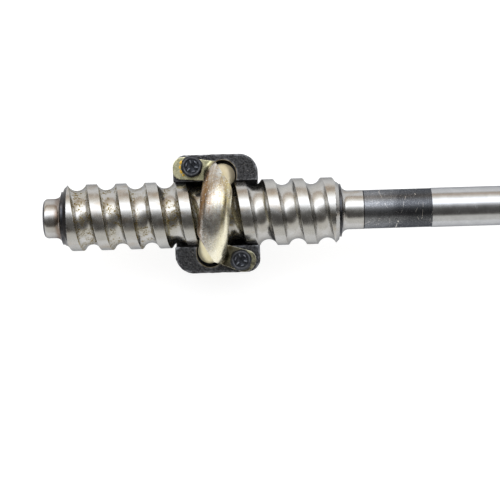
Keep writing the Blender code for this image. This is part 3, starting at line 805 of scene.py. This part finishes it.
def spline_rows():
    """(x, radius, tooth height) along the serrated end."""
    right = SHAFT_HIGH.x
    root = SPLINE_RADIUS - SPLINE_DEPTH
    half = CLAMP_GROOVE_WIDTH / 2
    rows = [(SPLINE_START + 0.3 * MM, root, 0), (SPLINE_START + 1.1 * MM, root, SPLINE_DEPTH)]
    rows += [(CLAMP_GROOVE_X - half - 0.6 * MM, root, SPLINE_DEPTH), (CLAMP_GROOVE_X - half, root, 0)]
    bottom = rounded([
        (CLAMP_GROOVE_X - half, root, 0),
        (CLAMP_GROOVE_X - half + 0.3 * MM, CLAMP_GROOVE_RADIUS, 0.5 * MM),
        (CLAMP_GROOVE_X + half - 0.3 * MM, CLAMP_GROOVE_RADIUS, 0.5 * MM),
        (CLAMP_GROOVE_X + half, root, 0),
    ], 5, closed=False)
    rows += [(x, radius, 0) for x, radius in bottom[1:]]
    rows += [(CLAMP_GROOVE_X + half + 0.6 * MM, root, SPLINE_DEPTH)]
    rows += [(right - END_CHAMFER, root, SPLINE_DEPTH), (right - 0.5 * MM, root - 0.2 * MM, 0)]
    rows += [(right, root - 0.7 * MM, 0), (right, CENTRE_HOLE_RADIUS, 0)]
    rows += [(right - CENTRE_HOLE_DEPTH, 0.3 * MM, 0)]
    return rows


def worm_shaft(finishes):
    turns = 5 * SPLINE_TEETH
    start, end = WORM_START - THREAD_CHAMFER, WORM_END + THREAD_CHAMFER
    foot = PITCH_RADIUS - TRACK_RADIUS
    angles = 2 * np.pi * np.arange(turns) / turns
    tooth = np.array((0.0, 0.45, 1.0, 1.0, 0.45))[np.arange(turns) % 5]

    def ring(x, radius, height=0.0):
        reach = radius + height * tooth
        return np.stack([np.full(turns, x), reach * np.cos(angles), reach * np.sin(angles)], axis=1)

    left = [ring(x, radius) for x, radius in left_outline(start, foot)]
    right = [ring(x, radius) for x, radius in right_outline(end, foot)]
    right += [ring(x, radius, height) for x, radius, height in spline_rows()]
    points, faces = worm_grid(turns, start, end, foot)
    for rings, cap in ((left, 0), (right, -1)):
        base = len(points)
        points = np.vstack([points, *rings])
        made = loft_faces(len(rings), turns)
        spare = made[-1] if cap == 0 else made[-2]
        faces += [tuple(base + i for i in face) for face in made if face is not spare]
    shaft = build("worm", points, faces, finishes, sharp=28, merge=2e-6)
    paint_zones(shaft, start, end)
    mark_track(shaft)
    return shaft


def mark_track(shaft):
    """Stores how far across the ball track each point is, -1 to 1, and the heat tint of the left race."""
    x, y, z = points_of(shaft).T
    race = WORM_START - THREAD_CHAMFER - SHOULDER_WIDTH
    stored(shaft, "burnt", (1.35 - np.abs(x - race + 1.5 * MM) / (2.0 * MM)).clip(0, 1))
    offset = (x - groove_x(np.arctan2(z, y)) + LEAD / 2) % LEAD - LEAD / 2
    stored(shaft, "across", offset / thread_profile()[24, 0])


def paint_zones(shaft, start, end):
    """Gives each face its finish: 0 land, 1 track, 2 shoulder, 3 journal, 4 oxide band, 5 rod."""
    x, y, z = read(shaft.data.polygons, "center").T
    radius = np.hypot(y, z)
    zone = np.full(len(x), 3)
    threaded = (x > start) & (x < end)
    inset = np.minimum(x - start, end - x)
    cone = PITCH_RADIUS - TRACK_RADIUS + inset - 0.12 * MM
    on_blank = radius > np.where(inset < THREAD_CHAMFER, cone, WORM_RADIUS - 0.06 * MM)
    zone[threaded] = np.where(on_blank[threaded], 0, 1)
    shoulder = ((x <= start) & (x > start - SHOULDER_WIDTH)) | ((x >= end) & (x < end + SHOULDER_WIDTH))
    zone[shoulder | (x < SHAFT_LOW.x + 0.9 * MM)] = 2
    # The left thread chamfer takes the dark shoulder finish as painted shade, standing for the dark
    # reflection it shows.
    zone[threaded & on_blank & (x < WORM_START - 0.1 * MM)] = 2
    zone[(x > NECK_END) & (x < BAND_END)] = 4
    zone[x >= BAND_END] = 5
    shaft.data.polygons.foreach_set("material_index", zone.astype(np.int32))


# ---------------------------------------------------------------- the half nut and what it carries


def track_cutter(name, radius):
    sections = []
    over = radians(2)
    for i in range(73):
        angle = -pi - over + (pi + 2 * over) * i / 72
        outward = round_x(angle)
        around = Vector((0, -sin(angle), cos(angle)))
        tangent = (Vector((LEAD / (2 * pi), 0, 0)) + PITCH_RADIUS * around).normalized()
        centre = Vector((groove_x(angle), 0, 0)) + PITCH_RADIUS * outward
        sections.append(circle(centre, outward, tangent.cross(outward), radius, 40))
    return loft(name, sections)


def half_nut(finish):
    width, reach = NUT_HIGH.y, NUT_HIGH.x - NUT_X
    section = rounded([
        (width, ARM_TOP, 0.35 * MM),
        (-width, ARM_TOP, 0.35 * MM),
        (-width, NUT_BACK, NUT_BACK_ROUNDING),
        (width, NUT_BACK, NUT_BACK_ROUNDING),
    ], 14)
    nut = prism_x("nut_body", section, NUT_LOW.x, NUT_HIGH.x, [finish])
    plan = rounded([
        (NUT_X + across * reach, up * width, NUT_OPEN_ROUNDING if across == up else NUT_EAR_ROUNDING)
        for across, up in ((1, 1), (-1, 1), (-1, -1), (1, -1))
    ], 14)
    boolean(nut, prism_z("nut_plan", plan, NUT_BACK - 1 * MM, ARM_TOP + 1 * MM), "INTERSECT")
    over = reach + 1 * MM
    bore = [(NUT_X - over, NUT_BORE_RADIUS), (NUT_X + over, NUT_BORE_RADIUS)]
    boolean(nut, turned("nut_bore", bore, sides=160))
    boolean(nut, track_cutter("nut_track", NUT_TRACK_RADIUS))
    for name, side in SIDES:
        x, y = leg_place(side)
        far = y + side * (POCKET_RADIUS + POCKET_STRETCH)
        near = y - side * POCKET_RADIUS
        well = rounded([
            (x + across * POCKET_RADIUS, v, POCKET_RADIUS)
            for across, v in ((1, near), (1, far), (-1, far), (-1, near))
        ], 12)
        boolean(nut, prism_z(f"nut_well_{name}", well, POCKET_FLOOR, ARM_TOP + 1 * MM))
        hole = [(BOLT_HOLE_RADIUS, ARM_TOP - BOLT_HOLE_DEPTH), (BOLT_HOLE_RADIUS, ARM_TOP + 1 * MM)]
        boolean(nut, turned_z(f"nut_hole_{name}", bolt_place(side), hole, sides=48))
    socket = [(PEG_SOCKET_RADIUS, NUT_BACK - 1 * MM), (PEG_SOCKET_RADIUS, NUT_BACK + PEG_SOCKET_DEPTH)]
    boolean(nut, turned_z("nut_socket", (NUT_X, 0), socket))
    remeshed(nut, NUT_VOXEL, rounds=3, keep=0.75)
    mark_wear(nut, rounds=6, gain=9000.0)
    mark_lips(nut)
    roughen(nut, clear=20 * MM, depth=0.16 * MM)
    return nut


def roughen(obj, clear, depth):
    """Sinks the surface by half this depth, and waves it beyond a clear distance from the shaft's axis."""
    points = points_of(obj)
    high = np.array([noise.noise(Vector(point) / (1.6 * MM)) for point in points])
    high += np.array([noise.noise(Vector(point) / (4.5 * MM)) for point in points])
    high *= np.hypot(points[:, 1], points[:, 2]) > clear
    top = ARM_TOP - 0.5 * MM
    high *= np.where(points[:, 2] > top, 0.2, 1.0)
    points = points + normals_of(obj) * (depth * high - depth / 2)[:, None]
    obj.data.vertices.foreach_set("co", points.astype(np.float32).ravel())


def mark_lips(nut):
    """Stores the bright ring round each well's mouth, and the bore and track inside the nut, which are
    painted lighter as painted light in their shade.
    """
    x, y, z = points_of(nut).T
    ring = np.zeros(len(x))
    for _, side in SIDES:
        along = side * y - PITCH_RADIUS
        along = along - along.clip(0, POCKET_STRETCH)
        off = np.abs(np.hypot(x - NUT_X - side * LEG_X, along) - POCKET_RADIUS)
        ring = np.maximum(ring, (1.6 - off / (0.25 * MM)).clip(0, 1))
    stored(nut, "lip", ring * (z > ARM_TOP - 0.6 * MM) * 0.8)
    away = np.hypot(y, z)
    in_track = (away < PITCH_RADIUS + NUT_TRACK_RADIUS) * (z < 0)
    stored(nut, "bore", (away < NUT_BORE_RADIUS + 0.3 * MM) | in_track)


def tube_frames(steps, end_z):
    """(centre, outward) along the tube, from the upper leg's end to the lower leg's."""
    frames = [(Vector((NUT_X + LEG_X, PITCH_RADIUS, z)), ALONG_Y) for z in (end_z, (end_z + ARCH_Z) / 2)]
    for i in range(steps + 1):
        turn = pi * i / steps
        outward = round_x(turn)
        x = NUT_X + LEG_X * (1 - 2 * turn / pi) - ARCH_BOW * sin(turn)
        frames.append((Vector((x, 0, ARCH_Z)) + PITCH_RADIUS * outward, outward))
    frames += [
        (Vector((NUT_X - LEG_X, -PITCH_RADIUS, z)), -ALONG_Y) for z in ((end_z + ARCH_Z) / 2, end_z)
    ]
    return frames


def worm_clearance(name):
    over = 24 * MM
    return turned(name, [(NUT_X - over, TUBE_TRIM_RADIUS), (NUT_X + over, TUBE_TRIM_RADIUS)], sides=160)


def transfer_tube(finish):
    frames = tube_frames(64, TUBE_END_Z)
    outer = [circle(c, out, ALONG_X, TUBE_RADIUS, 56) for c, out in frames]
    inner = [circle(c, out, ALONG_X, TUBE_BORE_RADIUS, 56) for c, out in frames]
    tube = loft("return_tube", outer + inner[::-1], [finish], closed=True)
    boolean(tube, worm_clearance("tube_trim"))
    return settle(tube)


def shell_section(centre, outward, steps=36):
    """The half shell's cross-section: its outer arc, then its inner arc back."""
    turns = [SHELL_HALF_ANGLE * (2 * i / steps - 1) for i in range(steps + 1)]
    arms = [cos(t) * outward + sin(t) * ALONG_X for t in turns]
    return [centre + SHELL_RADIUS * arm for arm in arms] + [
        centre + SHELL_INNER_RADIUS * arm for arm in reversed(arms)
    ]


def beyond_seam(name, side):
    """The plan of what the sheet leaves bare: the ground past its ear's outer edge and its seam."""
    tip = SEAM_TIP[name]
    seam = [Vector(point) * MM for point in SEAM_SIDES[name]]
    ear_edge = (EAR_CORNER[name] - tip).normalized()
    clear = Vector((-ear_edge.y, ear_edge.x)) * -0.05 * MM
    far = 40 * MM
    points = [tip + clear + far * ear_edge, tip + clear, tip, *seam]
    points += [seam[-1] + Vector((far, 0)), tip + far * ear_edge + Vector((far, far))]
    return [(NUT_X + side * p.x, side * p.y) for p in points]


def ear_plans():
    """The ears' outlines from the nut's centre: square ended above, round ended below."""
    upper = rounded([
        (*EAR_CORNER["upper"], 5.0 * MM),
        (*SEAM_TIP["upper"], 0),
        (4.0 * MM, 17.0 * MM, 0),
        (0.0, 15.6 * MM, 0),
        (-6.8 * MM, 16.1 * MM, 0),
        (-20.6 * MM, 17.2 * MM, 4.0 * MM),
    ], 12)
    lower = rounded([
        (*-SEAM_TIP["lower"], 0),
        (-4.0 * MM, -17.0 * MM, 0),
        (0.0, -15.5 * MM, 0),
        (5.6 * MM, -15.5 * MM, 0),
        (19.6 * MM, -19.6 * MM, 4.6 * MM),
        (*-EAR_CORNER["lower"], 6.0 * MM),
    ], 12)
    return {"upper": upper, "lower": lower}


def ear_cove(name, side):
    """The fillet between an ear and the shell's leg, on the ear's side of the leg."""
    centre = Vector((*leg_place(side), 0))
    inner, top = SHELL_RADIUS - 0.4 * MM, EAR_TOP
    profile = [(inner, top - 0.6 * MM), (SHELL_RADIUS + EAR_FILLET, top - 0.6 * MM)]
    for i in range(9):
        turn = pi / 2 * i / 8
        profile.append((
            SHELL_RADIUS + EAR_FILLET * (1 - sin(turn)),
            top + EAR_FILLET * (1 - cos(turn)),
        ))
    profile.append((inner, top + EAR_FILLET))
    first, last = radians(100), radians(195)
    sections = []
    for i in range(41):
        turn = first + (last - first) * i / 40
        out = side * round_z(turn)
        sections.append([centre + radius * out + z * ALONG_Z for radius, z in profile])
    return loft(name, sections)


def tube_clamp(finish):
    sections = [shell_section(c, out) for c, out in tube_frames(72, EAR_BOTTOM)]
    clamp = loft("clamp_shell", sections, [finish])
    for (name, side), plan in zip(SIDES, ear_plans().values()):
        ear = prism_z(f"ear_{name}", [(NUT_X + p.x, p.y) for p in plan], EAR_BOTTOM, EAR_TOP)
        boolean(clamp, ear, "UNION")
        boolean(clamp, ear_cove(f"cove_{name}", side), "UNION")
        boolean(clamp, prism_z(f"seam_{name}", beyond_seam(name, side), 0.0, 40 * MM))
        low, high = EAR_BOTTOM - 1 * MM, EAR_TOP + 1 * MM
        for label, place, radius in (
            ("hole", bolt_place(side), BOLT_HOLE_RADIUS),
            ("leg", leg_place(side), SHELL_INNER_RADIUS),
        ):
            boolean(clamp, turned_z(f"ear_{label}_{name}", place, [(radius, low), (radius, high)]))
    boolean(clamp, worm_clearance("clamp_trim"))
    remeshed(clamp, CLAMP_VOXEL, rounds=3, keep=0.6)
    mark_wear(clamp, rounds=2, gain=12000.0)
    mark_clamp(clamp)
    return clamp


def mark_clamp(clamp):
    """Stores where each point lies: round and along the shell, in the crease beside an ear (painted shade),
    on an ear's rim (painted highlight) or in the patch of painted dark reflection.
    """
    x, y, z = points_of(clamp).T
    turn = np.arctan2(np.maximum(z - ARCH_Z, 0), y)
    middle = NUT_X + LEG_X * (1 - 2 * turn / pi) - ARCH_BOW * np.sin(turn)
    out = np.hypot(y, np.maximum(z - ARCH_Z, 0)) - PITCH_RADIUS
    around = np.arctan2(x - middle, out)
    reach = np.hypot(x - middle, out)
    stored(clamp, "around", around)
    stored(clamp, "along", turn)
    stored(clamp, "shell", ((SHELL_RADIUS + 0.6 * MM - reach) / (0.5 * MM)).clip(0, 1))
    # The patch on the shell where a dark reflection is painted.
    patch = np.hypot((around + 0.4) / 0.6, (turn - 1.95) / 0.45)
    # Painted shade in the crease beside each leg, wider on the lower ear.
    low = np.where(y < 0, 1.0, 0.4) * (z < EAR_TOP + EAR_FILLET + 0.3 * MM)
    off = reach - SHELL_RADIUS - 1.0 * MM
    width = np.where((y < 0) & (off > 0), 2.6 * MM, 1.2 * MM)
    stored(clamp, "crease_shade", low * (1.5 - np.abs(off) / width).clip(0, 1))
    # The ears' top rims, where a painted highlight goes.
    leaning = ((0.93 - normals_of(clamp)[:, 2]) / 0.25).clip(0, 1)
    on_top = (np.abs(z - EAR_TOP + 0.2 * MM) < 0.35 * MM) * (reach > SHELL_RADIUS + 0.6 * MM)
    stored(clamp, "rim", leaning * on_top)
    stored(clamp, "crest", (1.5 - patch).clip(0, 1) * (reach < SHELL_RADIUS + 0.5 * MM))


# Raised marks on a bolt's head, in threes: the first's angle, inner radius, length outwards and half width.
HEAD_MARKS = ((90, 1.4 * MM, 1.7 * MM, 0.28 * MM), (30, 2.4 * MM, 0.5 * MM, 0.75 * MM))


def hex_bolt(name, side, finish):
    """An M6 bolt: a chamfered hexagon with six raised dashes, and a shank with its thread."""
    centre = Vector((*bolt_place(side), 0))
    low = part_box(f"clamp_bolt_{name}")[1].z - HEAD_HEIGHT
    high = low + HEAD_HEIGHT
    corner = HEAD_FLAT_RADIUS / cos(pi / 6)
    across = round_z(HEAD_TURN)
    along = Vector((-across.y, across.x, 0))
    sections = [circle(centre + z * ALONG_Z, across, along, corner, 6) for z in (low, high)]
    bolt = loft(f"bolt_{name}", sections, [finish])
    dish = [
        (4.75 * MM, low), (HEAD_CORNER_RADIUS, low + 0.25 * MM), (HEAD_CORNER_RADIUS, high - 1.0 * MM),
        (4.55 * MM, high - 0.25 * MM), (4.2 * MM, high), (3.9 * MM, high), (3.5 * MM, high - 0.3 * MM),
    ]
    boolean(bolt, turned_z(f"bolt_form_{name}", centre, dish), "INTERSECT")
    marks = [(degrees + third, *size) for degrees, *size in HEAD_MARKS for third in (0, 120, 240)]
    for i, (degrees, near, length, half) in enumerate(marks):
        angle = HEAD_TURN + radians(degrees)
        out = round_z(angle)
        aside = Vector((-out.y, out.x, 0))
        base = centre + Vector((0, 0, high - 0.5 * MM))
        outline = rounded_box((near, -half), (near + length, half), [0.15] * 4, 4)
        plan = [base + u * out + v * aside for u, v in outline]
        levels = [[point + z * ALONG_Z for point in plan] for z in (0, 0.45 * MM)]
        boolean(bolt, loft(f"bolt_dash_{name}_{i}", levels), "UNION")
    shank_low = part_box(f"clamp_bolt_{name}")[0].z
    crest, root = 2.95 * MM, 2.5 * MM
    shank = [(2.3 * MM, shank_low), (2.9 * MM, shank_low + 0.6 * MM)]
    for i in range(int((low - shank_low - 1.6 * MM) / THREAD_PITCH)):
        z = shank_low + 0.7 * MM + i * THREAD_PITCH
        shank += [(crest, z), (root, z + 0.45 * MM), (crest, z + 0.9 * MM)]
    shank += [(crest, low + 1 * MM)]
    boolean(bolt, turned_z(f"bolt_shank_{name}", centre, shank, sides=48), "UNION")
    ease = bolt.modifiers.new("ease", "BEVEL")
    ease.width = 0.1 * MM
    ease.segments = 2
    ease.limit_method = "ANGLE"
    ease.angle_limit = radians(28)
    settle(bolt, sharp=30)
    x, y, z = points_of(bolt).T
    away = np.hypot(x - centre.x, y - centre.y)
    # The raised dashes and the top rim, which take a lighter colour, partly as rubbed metal and partly as
    # painted highlight.
    dashes = (away < 3.45 * MM) * ((z - high + 0.2 * MM) / (0.1 * MM)).clip(0, 1)
    rim = 0.45 * ((z - high + 0.3 * MM) / (0.2 * MM)).clip(0, 1)
    stored(bolt, "raised", np.maximum(dashes, rim))
    return bolt


def spring_washer(name, finish):
    """A split washer, its ends offset along its height."""
    low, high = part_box(f"spring_washer_{name}")
    centre = Vector(((low.x + high.x) / 2, (low.y + high.y) / 2, 0))
    thick = high.z - low.z - WASHER_OFFSET
    gap = radians(12)
    first = radians(200)
    sections = []
    for i in range(91):
        share = i / 90
        turn = first + gap + (2 * pi - gap) * share
        out = round_z(turn)
        base = low.z + WASHER_OFFSET * (1 - share)
        profile = rounded_box((WASHER_BORE_RADIUS, base), (WASHER_RADIUS, base + thick), [0.2] * 4, 3)
        sections.append([centre + radius * out + z * ALONG_Z for radius, z in profile])
    return loft(f"washer_{name}", sections, [finish])


def steel_ball(number, finish):
    low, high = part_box(f"ball_{number:02d}")
    shape = bmesh.new()
    bmesh.ops.create_uvsphere(shape, u_segments=40, v_segments=24, radius=BALL_RADIUS)
    bmesh.ops.translate(shape, verts=shape.verts, vec=(low + high) / 2)
    return smooth_object(shape, f"steel_ball_{number:02d}", [finish])


def peg_bush(finish):
    low, high = (PEG_BUSH_BORE_RADIUS, PEG_LOW.z), (PEG_BUSH_RADIUS, PEG_HIGH.z)
    outline = rounded_box(low, high, (0.5, 0.3, 0.3, 0.3), 5)
    return turned_z("peg_bush_turned", (NUT_X, 0), outline, [finish], closed=True, sides=128)


def column_bush(finish):
    low, high = (BUSH_LOW.x, COLUMN_BUSH_BORE_RADIUS), (BUSH_HIGH.x, COLUMN_BUSH_RADIUS)
    outline = rounded_box(low, high, (0.6, 0.6, 0.8, 0.8), 5)
    return turned("column_bush_turned", outline, [finish], closed=True)


def circlip(name, finish):
    """A retaining ring: wider opposite its gap, with an eyed lug at each end."""
    low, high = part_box(f"retaining_ring_{name}")
    middle = (low.x + high.x) / 2
    half = RING_THICKNESS / 2
    gap = radians(50)
    sections = []
    for i in range(121):
        share = i / 120
        turn = gap / 2 + (2 * pi - gap) * share
        out = round_x(turn)
        outer = (RING_RADIUS + RING_SWELL * sin(pi * share)) * MM
        end = min(share, 1 - share)
        if end < RING_LUG_SHARE:
            outer += RING_LUG_HEIGHT * cos(end / RING_LUG_SHARE * pi / 2) ** 0.5
        profile = rounded_box((RING_BORE_RADIUS, -half), (outer, half), (0.08, 0.12, 0.12, 0.08), 2)
        sections.append([(middle + x) * ALONG_X + radius * out for radius, x in profile])
    ring = loft(f"circlip_{name}", sections, [finish])
    for i, end in enumerate((1, -1)):
        turn = end * (gap / 2 + radians(5.5))
        centre = Vector((middle, RING_EYE_CENTRE * cos(turn), RING_EYE_CENTRE * sin(turn)))
        eye = [circle(centre + x * ALONG_X, ALONG_Y, ALONG_Z, RING_EYE_RADIUS, 24) for x in (-MM, MM)]
        boolean(ring, loft(f"circlip_eye_{name}_{i}", eye))
    return settle(ring)


def paint_marks(finish):
    """Four dabs of marking paint on the upper ear, in a curve beside the bolt."""
    shape = bmesh.new()
    centre = Vector((NUT_X + BOLT.x, BOLT.y, EAR_TOP))
    for angle, length in ((157, 2.2), (180, 1.8), (203, 2.1), (223, 1.2)):
        turn = radians(angle)
        out = round_z(turn)
        blob = bmesh.ops.create_uvsphere(shape, u_segments=20, v_segments=12, radius=1.0)["verts"]
        for vertex in blob:
            u, v, w = vertex.co
            ripple = 1 + 0.16 * sin(5 * atan2(v, u) + angle)
            across = 0.62 * MM * u * ripple
            around = length / 2 * MM * v * ripple
            vertex.co = centre + out * (PAINT_DISTANCE + across) + Vector((-out.y, out.x, 0)) * around
            vertex.co.z += 0.13 * MM * w
    return smooth_object(shape, "paint_marks", [finish])


# ---------------------------------------------------------------- assembly, light and camera


def stand_for(piece, body, slot, *nodes):
    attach(piece, body)
    if nodes:
        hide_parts(*nodes)


def build_object():
    journal = ground_steel("journal_steel", (0.47, 0.465, 0.455), 0.2)
    zones = [
        ground_steel("land_steel", (0.46, 0.455, 0.44), 0.23),
        track_steel(),
        blued_steel(),
        journal,
        oxide_band(),
        ground_steel("rod_steel", (0.46, 0.465, 0.475), 0.2, 0.002, 0.05, (0.40, 0.40, 0.40)),
    ]
    stand_for(worm_shaft(zones), "worm", "ground_steel", "worm_shaft")
    stand_for(half_nut(phosphated_iron()), "nut", "phosphated_nut", "half_nut")
    stand_for(transfer_tube(pale_zinc()), "nut", "pale_zinc", "transfer_tube")
    stand_for(tube_clamp(yellow_chromate()), "nut", "yellow_chromate", "tube_clamp")
    black, spring = black_oxide(), black_oxide("spring_steel_black")
    for name, side in SIDES:
        stand_for(hex_bolt(name, side, black), "nut", "black_bolt", f"clamp_bolt_{name}")
        stand_for(spring_washer(name, spring), "nut", "spring_steel_black", f"spring_washer_{name}")
    chrome = ground_steel("ball_steel", (0.72, 0.72, 0.73), 0.1, 0.0005, 0.03, (0.6, 0.58, 0.55))
    for number in range(1, 14):
        stand_for(steel_ball(number, chrome), "nut", "ball_steel", f"ball_{number:02d}")
    stand_for(peg_bush(journal), "nut", "bush_steel", "peg_bush")
    stand_for(column_bush(sintered_bronze()), "column", "sintered_bronze", "column_bush")
    for name in ("inner", "outer"):
        stand_for(circlip(name, spring), "worm", "ring_steel", f"retaining_ring_{name}")
    stand_for(paint_marks(paint()), "nut", "yellow_chromate")


def pale_floor():
    size = 3.0
    corners = [(x * size, y * size, NUT_BACK - 0.3 * MM) for x, y in ((-1, -1), (1, -1), (1, 1), (-1, 1))]
    mesh = bpy.data.meshes.new("floor")
    mesh.from_pydata(corners, [], [(0, 1, 2, 3)])
    white = Finish("pale_floor", (0.3, 0.3, 0.3), 0.9, 0.0)
    white.set("Emission Color", (1.0, 1.0, 1.0))
    white.set("Emission Strength", 0.86)
    add_object("floor", mesh, [white.material])


def studio_world():
    """Soft light by the angle from +Z towards +Y, dying out towards the shaft's ends. It is seen as white."""
    world = bpy.data.worlds.new("studio")
    bpy.context.scene.world = world
    world.use_nodes = True
    sky, nodes = Nodes(world.node_tree), world.node_tree.nodes
    towards = {"Vector": sky.add("TexCoord", "Generated")}
    x, y, z = (sky.add("SeparateXYZ", axis, towards) for axis in "XYZ")
    colours = sky.add("ValToRGB", "Color", {"Fac": sky.math("ARCTAN2", y, z).remap(-pi / 2, pi / 2)})
    ramp = colours.socket.node.color_ramp
    peak = 3.3
    stops = (
        (-90, (0.98, 0.97, 0.93)),
        (-57, (0.98, 0.96, 0.90)),
        (-47, (0.12, 0.11, 0.10)),
        (-30, (0.11, 0.105, 0.10)),
        (-10, (0.16, 0.155, 0.145)),
        (0, (0.30, 0.295, 0.29)),
        (10, (0.85, 0.86, 0.88)),
        (18, (1.9, 1.93, 1.97)),
        (24, (3.0, 3.1, 3.3)),
        (42, (2.85, 2.92, 3.05)),
        (56, (1.6, 1.56, 1.48)),
        (64, (1.2, 1.12, 1.0)),
        (74, (0.85, 0.72, 0.60)),
        (84, (0.72, 0.60, 0.49)),
        (88, (0.85, 0.78, 0.72)),
        (90, (0.9, 0.88, 0.85)),
    )
    for i, (degrees, colour) in enumerate(stops):
        position = (degrees + 90) / 180
        stop = ramp.elements[i] if i < 2 else ramp.elements.new(position)
        stop.position = position
        stop.color = (*[c / peak for c in colour], 1.0)
    fade = abs(x).remap(0.78, 0.98, 1.0, 0.04)
    fade.socket.node.interpolation_type = "SMOOTHSTEP"
    background, surface = nodes["Background"], nodes["World Output"].inputs["Surface"]
    shaded = sky.add("VectorMath", "Vector", {0: colours, "Scale": fade}, operation="SCALE")
    sky.feed(background.inputs["Color"], shaded)
    sky.feed(background.inputs["Strength"], peak)
    lit = Value(sky, background.outputs["Background"])
    plain = sky.add("Background", "Background", {"Color": (1.0, 1.0, 1.0)})
    camera_ray = sky.add("LightPath", "Is Camera Ray")
    sky.feed(surface, sky.add("MixShader", "Shader", {"Fac": camera_ray, 1: lit, 2: plain}))


def camera():
    """Straight above the nut's open side, a little to the right of it and below the worm's axis."""
    target = Vector((NUT_X + 15.7 * MM, -18.17 * MM, 0))
    distance = 0.845
    roll = radians(1.7)
    lens = bpy.data.cameras.new("camera")
    lens.lens = 124.6
    lens.clip_start, lens.clip_end = 0.01, 20
    view = bpy.data.objects.new("camera", lens)
    bpy.context.scene.collection.objects.link(view)
    right = Vector((cos(roll), -sin(roll), 0))
    up = Vector((sin(roll), cos(roll), 0))
    turn = Matrix((right, up, ALONG_Z)).transposed().to_4x4()
    view.matrix_world = Matrix.Translation(target + distance * ALONG_Z) @ turn
    bpy.context.scene.camera = view


def studio():
    pale_floor()
    studio_world()
    bpy.context.scene.view_settings.view_transform = "Standard"


camera()
build_object()
studio()
